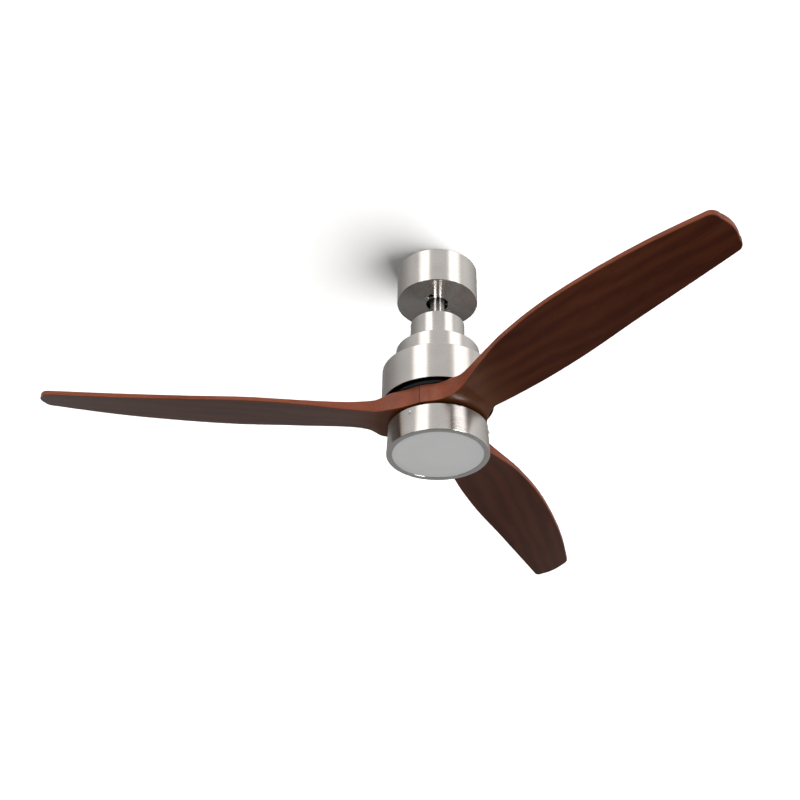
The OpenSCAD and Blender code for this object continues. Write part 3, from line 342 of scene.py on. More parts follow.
# the slots of the record, and two finishes that pieces here ask for by name; the blades make their own
FINISHES = {
    "brushed_nickel": lambda n: brushed_metal(n, (0.640, 0.612, 0.585), rough=0.28),
    # the lamp rim: unbrushed, and lighter than the cup's nickel as painted light, for the light the rim
    # reflects
    "lip_nickel_painted_lighter": lambda n: plain_metal(n, (0.80, 0.79, 0.78), rough=0.5, mottle=0.05),
    "rod_nickel": lambda n: brushed_metal(n, (0.720, 0.695, 0.670), rough=0.26, grain=1.3),
    "zinc_steel": lambda n: plain_metal(n, (0.56, 0.57, 0.585), rough=0.34, mottle=0.2),
    "screw_steel": lambda n: plain_metal(n, (0.74, 0.73, 0.71), rough=0.22),
    "black_screw": lambda n: plain_metal(n, (0.055, 0.055, 0.06), rough=0.42),
    "earth_green": lambda n: plain_metal(n, (0.10, 0.45, 0.16), rough=0.35),
    "black_paint": lambda n: coated(n, (0.004, 0.004, 0.0042), rough=0.4, dust=0.0, shine=0.08),
    "cast_aluminium": lambda n: plain_metal(n, (0.62, 0.63, 0.65), rough=0.48, grit=420.0, mottle=0.16),
    "shaft_steel": lambda n: brushed_metal(n, (0.60, 0.60, 0.62), rough=0.26, grain=1.6),
    "core_steel": lambda n: laminated(n, (0.30, 0.31, 0.34)),
    "copper_winding": lambda n: plain_metal(n, (0.62, 0.22, 0.075), rough=0.28, mottle=0.2),
    "bearing_steel": lambda n: plain_metal(n, (0.75, 0.75, 0.77), rough=0.14, mottle=0.05),
    "bearing_brass": lambda n: plain_metal(n, (0.74, 0.52, 0.20), rough=0.28),
    "magnet_grey": lambda n: coated(n, (0.035, 0.035, 0.038), rough=0.5, grit=500.0),
    "black_rubber": lambda n: coated(n, (0.012, 0.012, 0.012), rough=0.62, dust=0.15),
    "liner_nylon": lambda n: coated(n, (0.008, 0.008, 0.0085), rough=0.5, shine=0.05),
    "ball_nylon": lambda n: coated(n, (0.005, 0.005, 0.0055), rough=0.45, dust=0.0, shine=0.05),
    "white_plastic": lambda n: coated(n, (0.78, 0.775, 0.75), rough=0.38),
    "supply_wire": lambda n: coated(n, (0.26, 0.10, 0.045), rough=0.35),
    "motor_wire": lambda n: coated(n, (0.50, 0.03, 0.025), rough=0.3),
    "lamp_wire": lambda n: coated(n, (0.018, 0.018, 0.019), rough=0.35),
    "board_green": lambda n: circuit(n, (0.012, 0.135, 0.055), (0.03, 0.24, 0.09)),
    "board_black": lambda n: coated(n, (0.03, 0.03, 0.034), rough=0.36),
    "led_white": lambda n: circuit(n, (0.80, 0.80, 0.78), (0.70, 0.70, 0.69)),
    "led_yellow": lambda n: coated(n, (0.82, 0.60, 0.10), rough=0.3, sheen_coat=0.4),
    "opal": opal,
    # painted shade: a near-black finish for the shells' hollow insides, which lie in shade
    "painted_shade_inside": lambda n: coated(n, (0.006, 0.006, 0.0065), rough=0.7, dust=0.05, shine=0.02),
}
made = {}


def finish_of(slot):
    """The material of one of the record's slots, made the first time that it is asked for."""
    if slot not in made:
        made[slot] = FINISHES[slot](slot)
    return made[slot]


# ---------------------------------------------------------------- mesh helpers


def new_object(name, mesh):
    thing = bpy.data.objects.new(name, mesh)
    bpy.context.scene.collection.objects.link(thing)
    return thing


def solid(name, corners, faces, marks=None):
    """A mesh object from corners in millimetres, with faces turned outwards and marks per vertex."""
    mesh = bpy.data.meshes.new(name)
    mesh.from_pydata([Vector(c) * MM for c in corners], [], faces)
    for mark, values in (marks or {}).items():
        mesh.attributes.new(mark, "FLOAT", "POINT").data.foreach_set("value", values)
    shape = bmesh.new()
    shape.from_mesh(mesh)
    bmesh.ops.recalc_face_normals(shape, faces=shape.faces)
    shape.to_mesh(mesh)
    shape.free()
    return new_object(name, mesh)


def shade(thing, limit=32.0):
    """Smooth shading that keeps edges sharper than the limit, with large faces kept flat."""
    shape = bmesh.new()
    shape.from_mesh(thing.data)
    for face in shape.faces:
        face.smooth = True
    for edge in shape.edges:
        edge.smooth = len(edge.link_faces) == 2 and edge.calc_face_angle(0.0) < math.radians(limit)
    shape.to_mesh(thing.data)
    shape.free()
    weighted = thing.modifiers.new("weighted", "WEIGHTED_NORMAL")
    weighted.keep_sharp = True
    return thing


def rounded(corners, steps=5):
    """A closed outline of (r, z, radius) corners as (r, z, edge share) points, with each corner an arc. The
    share peaks mid-arc and marks rubbed metal with a painted edge highlight.
    """
    points = []
    count = len(corners)
    for i, (r, z, radius) in enumerate(corners):
        here = Vector((r, z))
        before = Vector(corners[i - 1][:2]) - here
        after = Vector(corners[(i + 1) % count][:2]) - here
        if radius <= 0:
            points.append((r, z, 0.0))
            continue
        half = before.angle(after) / 2
        reach = min(radius / math.tan(half), before.length * 0.48, after.length * 0.48)
        radius = reach * math.tan(half)
        centre = here + (before.normalized() + after.normalized()).normalized() * radius / math.sin(half)
        start = here + before.normalized() * reach - centre
        sweep = start.angle_signed(here + after.normalized() * reach - centre)
        for k in range(steps + 1):
            share = k / steps
            arm = Matrix.Rotation(-sweep * share, 2) @ start
            points.append((*(centre + arm), math.sin(math.pi * share)))
    return points


def lathe(name, corners, around=AROUND):
    """A closed outline turned about the fan's axis. A point with r = 0 is a pole."""
    outline = rounded(corners)
    spots, rings, wear_and_glint = [], [], []
    for r, z, worn in outline:
        count = 1 if r < 1e-6 else around
        rings.append([len(spots) + k for k in range(count)])
        for k in range(count):
            turn = 2 * math.pi * k / around
            spots.append((r * math.cos(turn), r * math.sin(turn), z))
        wear_and_glint += [worn] * count
    faces = []
    for a, b in zip(rings, rings[1:] + rings[:1]):
        for k in range(around):
            loop = [a[k % len(a)], a[(k + 1) % len(a)], b[(k + 1) % len(b)], b[k % len(b)]]
            face = list(dict.fromkeys(loop))
            if len(face) > 2:
                faces.append(face)
    return solid(name, spots, faces, {"wear_and_glint": wear_and_glint})


def prism(name, outline, low, high):
    """A flat outline of (x, y) points raised from low to high."""
    count = len(outline)
    corners = [(x, y, low) for x, y in outline] + [(x, y, high) for x, y in outline]
    walls = [[i, (i + 1) % count, (i + 1) % count + count, i + count] for i in range(count)]
    return solid(name, corners, [list(range(count)), list(range(count, 2 * count)), *walls])


def arc(x, y, r, start, end, steps):
    """Points on a circle about (x, y), from one angle to another in degrees."""
    turns = [math.radians(start + (end - start) * k / steps) for k in range(steps + 1)]
    return [(x + r * math.cos(t), y + r * math.sin(t)) for t in turns]


def cut(thing, *cutters):
    """Takes the cutters' shapes out of a mesh, and removes the cutters."""
    for cutter in cutters:
        hole = thing.modifiers.new("cut", "BOOLEAN")
        hole.operation = "DIFFERENCE"
        hole.solver = "EXACT"
        hole.object = cutter
    bpy.context.view_layer.update()
    result = bpy.data.meshes.new_from_object(thing.evaluated_get(bpy.context.evaluated_depsgraph_get()))
    thing.modifiers.clear()
    thing.data = result
    for cutter in cutters:
        bpy.data.objects.remove(cutter)
    return thing


def join(name, things):
    """Several mesh objects as one."""
    shape = bmesh.new()
    for thing in things:
        copy = thing.data.copy()
        copy.transform(thing.matrix_world)
        shape.from_mesh(copy)
    mesh = bpy.data.meshes.new(name)
    shape.to_mesh(mesh)
    shape.free()
    for thing in things:
        bpy.data.objects.remove(thing)
    return new_object(name, mesh)


def stand_for(piece, *nodes):
    """The piece takes the place, the body and the finish of these CAD nodes."""
    slot = SLOT_OF[nodes[0]]
    if not piece.data.materials:
        piece.data.materials.append(finish_of(slot))
    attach(piece, NODES[nodes[0]]["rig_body"])
    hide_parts(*nodes)
    return piece


def extent(node):
    """Outer radius, top and bottom of a round CAD node, in millimetres."""
    low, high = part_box(node)
    return high.x / MM, high.z / MM, low.z / MM


# ---------------------------------------------------------------- turned shells

SHEET = 1.2  # wall of the spun shells
DISC = 1.5  # their flat tops and floors
ROD_WALL = 2.4
SHELL_TOP_CLEAR = 4.0  # a hollow's faces are told from the rim by lying this far inside it
ROD_R, ROD_TOP, ROD_BOTTOM = extent("downrod")
CANOPY_HOLE_R = 20.5
SCREW_RING_R = 27.6
SCREW_ANGLE = 46.5
KEYHOLE_TURN = 22.0


def keyhole(angle, low, high):
    """Cutters for one keyhole: a slot along the screw circle that ends in a hole for the head."""
    wide, narrow = 4.6, 2.4
    end = angle + KEYHOLE_TURN
    outer = arc(0, 0, SCREW_RING_R + narrow, angle, end, 12)
    inner = arc(0, 0, SCREW_RING_R - narrow, end, angle, 12)
    turn = math.radians(angle)
    at = (SCREW_RING_R * math.cos(turn), SCREW_RING_R * math.sin(turn))
    cap = arc(*at, narrow, angle - 180, angle, 12)[1:-1]
    turn = math.radians(end)
    head = arc(SCREW_RING_R * math.cos(turn), SCREW_RING_R * math.sin(turn), wide, 0, 360, 40)[:-1]
    return prism("slot_cutter", outer + inner + cap, low, high), prism("head_cutter", head, low, high)


def painted_shade_inside(shell, upright):
    """Gives the hollow side of a turned shell a near-black painted shade, standing for the shade inside it.
    Upright shells open upwards.
    """
    shell.data.materials.append(finish_of(SLOT_OF["canopy"]))
    shell.data.materials.append(finish_of("painted_shade_inside"))
    low, high = min(v.co.z for v in shell.data.vertices), max(v.co.z for v in shell.data.vertices)
    for face in shell.data.polygons:
        inward = face.normal.dot(Vector((*face.center.xy, 0)).normalized()) < -0.5
        if upright:
            hidden = face.normal.z > 0.5 and face.center.z < high - SHELL_TOP_CLEAR * MM
        else:
            hidden = face.normal.z < -0.5 and face.center.z > low + SHELL_TOP_CLEAR * MM
        # inside faces take the near-black painted shade, the rest the shell's nickel
        face.material_index = int(hidden or inward)
    return shell


def build_canopy():
    radius, top, bottom = extent("canopy")
    floor = bottom + DISC
    shell = lathe("canopy_shell", [
        (radius, top, 0.4), (radius - SHEET, top, 0.3), (radius - SHEET, floor, 1.2),
        (CANOPY_HOLE_R, floor, 0.4), (CANOPY_HOLE_R, bottom, 0.5), (radius, bottom, 1.3),
    ])
    cutters = [c for a in (SCREW_ANGLE, SCREW_ANGLE + 180) for c in keyhole(a, bottom - 2, floor + 1)]
    return stand_for(shade(painted_shade_inside(cut(shell, *cutters), True)), "canopy")


def build_tier(name, node, hole, lip=0.5):
    """A stepped housing: a cup open below, with a rounded shoulder and a hole in its top."""
    radius, top, bottom = extent(node)
    shell = lathe(name, [
        (hole, top, 0.5), (radius, top, 1.6), (radius, bottom, lip), (radius - SHEET, bottom, lip),
        (radius - SHEET, top - DISC, 0.8), (hole, top - DISC, 0.4),
    ])
    return stand_for(shade(painted_shade_inside(shell, False)), node)


def build_downrod():
    rod = lathe("downrod_tube", [
        (ROD_R, ROD_TOP, 0.5), (ROD_R, ROD_BOTTOM, 0.5), (ROD_R - ROD_WALL, ROD_BOTTOM, 0.3),
        (ROD_R - ROD_WALL, ROD_TOP, 0.3),
    ], around=128)
    return stand_for(shade(rod), "downrod")


LAMP_TOP_R, LAMP_HOLE_R, LAMP_LIP_R = 86.0, 60.0, 78.4
LAMP_WALL = 1.6
GLASS_FIT, GLASS_SET_BACK = 0.2, 0.8  # the diffuser's clearance in the lip, and its depth behind the lip


def build_lamp():
    """The tapered lamp cup, with its unbrushed rim in a nickel painted lighter than the cup's as painted
    light, and the diffuser that rests on the rim's lip.
    """
    lower, top, bottom = extent("lamp_cup")
    shelf, roof = bottom + DISC, top - DISC
    cup = lathe("lamp_body", [
        (LAMP_HOLE_R, top, 0.3), (LAMP_TOP_R, top, 1.4), (lower, bottom, 0.9), (LAMP_LIP_R, bottom, 0.5),
        (LAMP_LIP_R, shelf, 0.2), (lower - LAMP_WALL, shelf, 0.4), (LAMP_TOP_R - LAMP_WALL, roof, 0.8),
        (LAMP_HOLE_R, roof, 0.3),
    ])
    cup.data.materials.append(finish_of(SLOT_OF["lamp_cup"]))
    cup.data.materials.append(finish_of("lip_nickel_painted_lighter"))
    # the rim's flat underside gets the lighter nickel: painted light
    for side in cup.data.polygons:
        side.material_index = int(side.normal.z < -0.9 and side.center.z < (bottom + 0.3) * MM)
    stand_for(shade(cup), "lamp_cup")
    glass, face = LAMP_LIP_R - GLASS_FIT, bottom + GLASS_SET_BACK
    flange = extent("diffuser")[0]
    disc = lathe("lamp_diffuser", [
        (0, face + 0.25, 0), (LAMP_LIP_R - 14, face + 0.1, 0), (glass, face, 0.6), (glass, shelf, 0.1),
        (flange, shelf, 0.2), (flange, shelf + DISC, 0.2), (0, shelf + DISC, 0),
    ])
    stand_for(shade(disc), "diffuser")
    return cup


# ---------------------------------------------------------------- blades

HUB_R = 84.0
SEAM_LEAD, SEAM_TRAIL = -64.7, 54.7
BLEND_LEAD, BLEND_TRAIL = -55.0, 46.0
LEAD_KNEE, TRAIL_KNEE = Vector((72, -48)), Vector((88, 33))
HUB_HOLE_R = 30.0
ROOT_X = 116.0
TIP_X, TIP_CORNER_R, TIP_CROWN, TOP_CROWN = 657.0, 13.0, 5.0, 3.0
UNDERCUT = 5.0  # how far the root's leading face leans in, from its top to its bottom
EDGE_R = 1.8  # rounding of the blade's long edges
SEAM_R = 0.45  # rounding of the joints between the blade roots
BLADE_ANGLE = 193.35
BLADE_STEP = 120.0
HUB_SHARE = 0.2  # the part of the root's edge that follows the hub before it turns out
ROOT_BOW = 7.0  # how far the root's last section bows towards the hub in mid blade
GRID = 6.5  # spacing of the points over a blade's faces

# along the blade: x, leading y, its bottom and thickness, trailing y, its bottom and thickness
STATIONS = (
    (84, -53, -334, 34, 27, -334, 34),
    (112, -56, -325.7, 20.2, 25, -335, 25),
    (136, -61.5, -320.6, 14.1, 25, -336, 19.7),
    (170, -70.5, -316.7, 11.2, 25, -337, 15),
    (240, -87.5, -312.5, 9.5, 24.5, -337, 9.3),
    (330, -103, -312.5, 8, 17.5, -337.5, 8),
    (430, -109, -314.5, 8, 2.5, -339.5, 8),
    (540, -107, -317.5, 8.5, -12.5, -342, 8.5),
    (660, -95, -321, 9, -28, -343.5, 8.5),
)
LEAD_Y, LEAD_Z, LEAD_T, TRAIL_Y, TRAIL_Z, TRAIL_T = range(1, 7)


def along(x, column):
    """Smooth value of one column of STATIONS at x, the same inside the first station."""
    last = len(STATIONS) - 1
    i = max([k for k in range(last) if k == 0 or x >= STATIONS[k][0]])

    def slope(k):
        a, b = STATIONS[max(k - 1, 0)], STATIONS[min(k + 1, last)]
        return 0.0 if k == 0 else (b[column] - a[column]) / (b[0] - a[0])

    a, b = STATIONS[i], STATIONS[i + 1]
    width = b[0] - a[0]
    t = max(0.0, (x - a[0]) / width)
    return (a[column] * (2 * t**3 - 3 * t * t + 1) + b[column] * (3 * t * t - 2 * t**3)
            + slope(i) * width * (t**3 - 2 * t * t + t) + slope(i + 1) * width * (t**3 - t * t))


def polar(r, degrees):
    return Vector((r * math.cos(math.radians(degrees)), r * math.sin(math.radians(degrees))))


def root_edge(seam, blend, knee, end, s):
    """The root's edge at s from 0 to 1: round the hub, then out into the blade."""
    if s < HUB_SHARE:
        return polar(HUB_R, seam + (blend - seam) * s / HUB_SHARE)
    t = (s - HUB_SHARE) / (1 - HUB_SHARE)
    return (1 - t) ** 2 * polar(HUB_R, blend) + 2 * t * (1 - t) * knee + t * t * end


LEAD_END = Vector((ROOT_X, along(ROOT_X, LEAD_Y)))
TRAIL_END = Vector((ROOT_X, along(ROOT_X, TRAIL_Y)))


def lead_root(s):
    return root_edge(SEAM_LEAD, BLEND_LEAD, LEAD_KNEE, LEAD_END, s)


def trail_root(s):
    return root_edge(SEAM_TRAIL, BLEND_TRAIL, TRAIL_KNEE, TRAIL_END, s)


def place_in_root(x, y):
    """(s, v) of a point between the hub circle and the straight part of the blade."""
    reach, turn = math.hypot(x, y), math.atan2(y, x)

    def across(s):
        a, b = lead_root(s), trail_root(s)
        start, end = math.atan2(a.y, a.x), math.atan2(b.y, b.x)
        v = min(1.0, max(0.0, (turn - start) / (end - start)))
        bulge = 44 * s * (1 - s) - ROOT_BOW * s
        return v, a.length + (b.length - a.length) * v + bulge * 4 * v * (1 - v)

    low, high = 0.0, 1.0
    for _ in range(26):
        middle = (low + high) / 2
        if across(middle)[1] < reach:
            low = middle
        else:
            high = middle
    return low, across(low)[0]


def fade(x, a, b):
    t = min(1.0, max(0.0, (x - a) / (b - a)))
    return t * t * (3 - 2 * t)


def blade_faces(x, y):
    """The points of the blade's underside and of its top that belong to a point of its plan."""
    lead, trail = along(x, LEAD_Y), along(x, TRAIL_Y)
    v = min(1.0, max(0.0, (y - lead) / (trail - lead)))
    lead_x = trail_x = x
    rim = ROOT_X - ROOT_BOW * 4 * v * (1 - v)
    if x < rim:
        s, v = place_in_root(x, y)
        lead_x, trail_x = lead_root(s).x, trail_root(s).x
    low = along(lead_x, LEAD_Z) * (1 - v) + along(trail_x, TRAIL_Z) * v
    thick = along(lead_x, LEAD_T) * (1 - v) + along(trail_x, TRAIL_T) * v
    high = low + thick + TOP_CROWN * fade(lead_x, 100, 200) * 4 * v * (1 - v)
    lean = UNDERCUT * fade(lead_x, 84, 112) * (1 - fade(lead_x, 110, 230)) * (1 - v) ** 2
    return Vector((x, y + lean, low)), Vector((x, y, high))


def blade_outline():
    """The blade's plan as (x, y, edge radius), anticlockwise from the hub hole's leading corner."""
    seam_steps, root_steps, span_steps, tip_steps = 6, 46, 84, 9
    straight_end = TIP_X - TIP_CROWN - TIP_CORNER_R

    def edge_radius(s):
        return SEAM_R + (EDGE_R - SEAM_R) * fade(s, 0.0, 0.06)

    def hub_radii():
        return [HUB_HOLE_R + (HUB_R - HUB_HOLE_R) * k / seam_steps for k in range(seam_steps)]

    points = [(*polar(r, SEAM_LEAD), SEAM_R) for r in hub_radii()]
    out = [k / root_steps for k in range(root_steps)]
    points += [(*lead_root(s), edge_radius(s)) for s in out]
    for k in range(span_steps):
        x = ROOT_X + (straight_end - ROOT_X) * k / span_steps
        points.append((x, along(x, LEAD_Y), EDGE_R))
    corner = [math.radians(90 * k / tip_steps) for k in range(tip_steps + 1)]
    for turn in corner:
        x = straight_end + TIP_CORNER_R * math.sin(turn)
        points.append((x, along(x, LEAD_Y) + TIP_CORNER_R * (1 - math.cos(turn)), EDGE_R))
    end = straight_end + TIP_CORNER_R
    low, high = along(end, LEAD_Y) + TIP_CORNER_R, along(end, TRAIL_Y) - TIP_CORNER_R
    for k in range(1, 16):
        v = k / 16
        points.append((end + TIP_CROWN * 4 * v * (1 - v), low + (high - low) * v, EDGE_R))
    for turn in reversed(corner):
        x = straight_end + TIP_CORNER_R * math.sin(turn)
        points.append((x, along(x, TRAIL_Y) - TIP_CORNER_R * (1 - math.cos(turn)), EDGE_R))
    for k in reversed(range(span_steps)):
        x = ROOT_X + (straight_end - ROOT_X) * k / span_steps
        points.append((x, along(x, TRAIL_Y), EDGE_R))
    back = [k / root_steps for k in reversed(range(root_steps))]
    points += [(*trail_root(s), edge_radius(s)) for s in back]
    points += [(*polar(r, SEAM_TRAIL), SEAM_R) for r in reversed(hub_radii())]
    hole = 14
    turns = [SEAM_TRAIL + (SEAM_LEAD - SEAM_TRAIL) * k / hole for k in range(1, hole)]
    return points + [(*polar(HUB_HOLE_R, turn), SEAM_R) for turn in turns]


def inward(outline):
    """For each point of an anticlockwise outline, the step that moves both its sides in by 1."""
    steps = []
    for i, (x, y, _) in enumerate(outline):
        before = Vector((x, y)) - Vector(outline[i - 1][:2])
        after = Vector(outline[(i + 1) % len(outline)][:2]) - Vector((x, y))
        a = Vector((-before.y, before.x)).normalized()
        b = Vector((-after.y, after.x)).normalized()
        middle = (a + b).normalized()
        steps.append(middle / max(0.5, middle.dot(a)))
    return steps


def grid_over(loop, spacing):
    """Points of a square grid over a loop's box, inside the loop or not, that lie clear of its line."""
    low_x, high_x = min(p.x for p in loop), max(p.x for p in loop)
    low_y, high_y = min(p.y for p in loop), max(p.y for p in loop)
    edge = np.array([(p.x, p.y) for p in loop])
    found = []
    for x in np.arange(low_x, high_x, spacing):
        for y in np.arange(low_y, high_y, spacing):
            if np.hypot(*(edge - (x, y)).T).min() > spacing * 0.55:
                found.append(Vector((x, y)))
    return found


def blade_mesh():
    """One blade in its own frame, X along it: faces filled over a grid, with rounded edges between."""
    outline = blade_outline()
    steps = inward(outline)
    count = len(outline)
    corners, wear_and_glint, side = [], [], []

    def add_ring(share_in, share_up, on_top, worn, side_painted_light_share):
        ring = []
        for (x, y, radius), step in zip(outline, steps):
            spot = blade_faces(*(Vector((x, y)) + step * radius * share_in))[on_top]
            spot.z += radius * share_up * (-1 if on_top else 1)
            ring.append(len(corners))
            corners.append(spot)
            wear_and_glint.append(worn * min(1.0, radius / EDGE_R))
            side.append(side_painted_light_share)
        return ring

    arc_steps = 6
    rings = []
    for on_top in (False, True):
        order = range(arc_steps + 1)
        for k in reversed(order) if on_top else order:
            turn = math.radians(90 * k / arc_steps)
            # this share peaks mid-edge, where the walnut paints its edge highlight
            worn = math.sin(2 * turn)
            share_in, share_up = 1 - math.sin(turn), 1 - math.cos(turn)
            # the last share marks the blade's sides, which take the walnut's lighter, painted-light colour
            rings.append(add_ring(share_in, share_up, on_top, worn, math.sin(turn) ** 2))
    faces = []
    for a, b in zip(rings, rings[1:]):
        faces += [[a[i], a[(i + 1) % count], b[(i + 1) % count], b[i]] for i in range(count)]

    loop = [Vector(corners[i][:2]) for i in rings[0]]
    grid = grid_over(loop, GRID)
    border = [(i, (i + 1) % count) for i in range(count)]
    spots, _, triangles, origin, _, _ = geometry.delaunay_2d_cdt(loop + grid, border, [], 1, 1e-5)
    used = sorted({k for triangle in triangles for k in triangle})  # grid points outside drop out here
    for level, rim in enumerate((rings[0], rings[-1])):
        index = {}
        for k in used:
            ring_places = [j for j in origin[k] if j < count]
            if ring_places:
                index[k] = rim[ring_places[0]]
            else:
                index[k] = len(corners)
                corners.append(blade_faces(*spots[k])[level])
                wear_and_glint.append(0.0)
                side.append(0.0)
        faces += [[index[k] for k in triangle] for triangle in triangles]
    return corners, faces, {"wear_and_glint": wear_and_glint, "side": side}


def build_blades():
    """The three blades: one mesh turned about the axis, with a different board for each."""
    corners, faces, marks = blade_mesh()
    for k in range(3):
        blade = solid(f"wood_blade_{k + 1}", corners, faces, marks)
        blade.matrix_world = Matrix.Rotation(math.radians(BLADE_ANGLE + k * BLADE_STEP), 4, "Z")
        blade.data.materials.append(walnut(f"walnut_board_{k + 1}", 1.7 * k))
        stand_for(shade(blade, 40.0), f"blade_{k + 1}")


# ---------------------------------------------------------------- screws


def screw(name, shank_r, length, head_r, head_h):
    """A pan screw with a cross recess and a ridged shank. Its head stands on z = 0."""
    corners = [(0, head_h, 0), (head_r * 0.4, head_h * 0.98, 0), (head_r, head_h * 0.9, head_h * 0.7),
               (head_r, 0, 0.15), (shank_r, 0, 0.1)]
    pitch, plain, root_r = 0.7, 0.6, shank_r * 0.84
    for k in range(int((length - 2 * plain) / pitch)):
        z = -plain - pitch * k
        corners += [(shank_r, z, 0), (root_r, z - pitch / 2, 0)]
    corners += [(root_r, -length, 0.2), (0, -length, 0)]
    body = lathe(name, corners, around=40)
    arm, wide = head_r * 0.55, head_r * 0.13
    cross = [prism("arm_cutter", [(-arm, -wide), (arm, -wide), (arm, wide), (-arm, wide)],
                   head_h * 0.4, head_h * 2) for _ in range(2)]
    cross[1].matrix_world = Matrix.Rotation(math.pi / 2, 4, "Z")
    return cut(body, *cross)


def screw_set(name, node, sizes, places):
    """Copies of one screw at several places, as the piece that stands for a CAD node."""
    pattern = screw(name + "_pattern", *sizes)
    copies = []
    for place in places:
        copy = new_object(name, pattern.data.copy())
        copy.matrix_world = place
        copies.append(copy)
    bpy.data.objects.remove(pattern)
    bpy.context.view_layer.update()
    return stand_for(shade(join(name, copies)), node)


def ring_places(count, radius, start, height, down=True):
    """Places on a ring about the axis: each points down, or outwards if down is false."""
    flip = Matrix.Rotation(math.pi, 4, "X") if down else Matrix.Rotation(math.pi / 2, 4, "Y")
    for k in range(count):
        turn = Matrix.Rotation(math.radians(start + 360 / count * k), 4, "Z")
        yield turn @ Matrix.Translation((radius * MM, 0, height * MM)) @ flip


LAMP_SCREW_ANGLE = 236.9
LAMP_SCREW_SEAT = 1.81  # how far the heads' seat lies inside the lamp's widest radius


def build_screws():
    floor = extent("canopy")[2]
    screw_set("canopy_screw_pair", "canopy_screws", (1.95, 11, 3.9, 2.4),
              ring_places(2, SCREW_RING_R, SCREW_ANGLE, floor))
    seat = extent("lamp_cup")[0] - LAMP_SCREW_SEAT
    low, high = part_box("lamp_screws")
    height = (low.z + high.z) / 2 / MM
    screw_set("lamp_side_screws", "lamp_screws", (1.45, 7.5, 2.8, 1.9),
              ring_places(3, seat, LAMP_SCREW_ANGLE, height, down=False))


# ---------------------------------------------------------------- stage, light and camera

FLOOR_Z, FLOOR_SIZE = -2.4, 60.0
CEILING_Z, CEILING_SIZE = 0.0004, 160.0  # just above the canopy's rim, and past every view's horizon
CARD_WIDTH, CARD_HEIGHT = 0.80, 1.3
CARD_DISTANCE, CARD_Z = 2.0, -1.15
CARD_TARGET = Vector((0, 0, -0.4))
PANEL_AT, PANEL_TARGET = Vector((0.3, -1.2, -2.2)), Vector((0, 0, -0.3))
CAMERA_AT = (0.0, -1.738, -1.3775)

# tall light strips round the fan, each from one azimuth to another in degrees
BRIGHT_STRIPS = ((-48.5, -21.5), (32, 62.5))
DARK_STRIPS = ((22, 25, -0.15), (68, 71, -0.15), (-97, -93, -0.1))
SIDE_GLOW = (72, 135, 0.34)


def plane(name, size, z, facing_down=False):
    half = size / 2
    corners = [(-half, -half), (half, -half), (half, half), (-half, half)]
    mesh = bpy.data.meshes.new(name)
    order = [3, 2, 1, 0] if facing_down else [0, 1, 2, 3]
    mesh.from_pydata([(x, y, z) for x, y in corners], [], [order])
    return new_object(name, mesh)


def stage_finish(name, colour, see_through_back):
    material = bpy.data.materials.new(name)
    material.use_nodes = True
    tree = material.node_tree
    tree.nodes.clear()
    face = tree.nodes.new("ShaderNodeBsdfDiffuse")
    face.inputs["Color"].default_value = (*colour, 1)
    output = tree.nodes.new("ShaderNodeOutputMaterial")
    if see_through_back:
        back = tree.nodes.new("ShaderNodeBsdfTransparent")
        mixer = tree.nodes.new("ShaderNodeMixShader")
        facing = tree.nodes.new("ShaderNodeNewGeometry").outputs["Backfacing"]
        tree.links.new(facing, mixer.inputs[0])
        tree.links.new(face.outputs[0], mixer.inputs[1])
        tree.links.new(back.outputs[0], mixer.inputs[2])
        tree.links.new(mixer.outputs[0], output.inputs["Surface"])
    else:
        tree.links.new(face.outputs[0], output.inputs["Surface"])
    return material


def build_stage():
    """A pale ceiling that is seen only from below, and a pale floor far under the fan."""
    ceiling = plane("stage_ceiling", CEILING_SIZE, CEILING_Z, facing_down=True)
    ceiling.data.materials.append(stage_finish("stage_ceiling", (0.45, 0.45, 0.45), True))
    ceiling.visible_glossy = False
    ceiling.visible_shadow = False
    floor = plane("stage_floor", FLOOR_SIZE, FLOOR_Z)
    floor.data.materials.append(stage_finish("stage_floor", (0.86, 0.86, 0.85), False))
    for ray in ("glossy", "diffuse", "shadow"):
        setattr(floor, "visible_" + ray, False)
    return ceiling


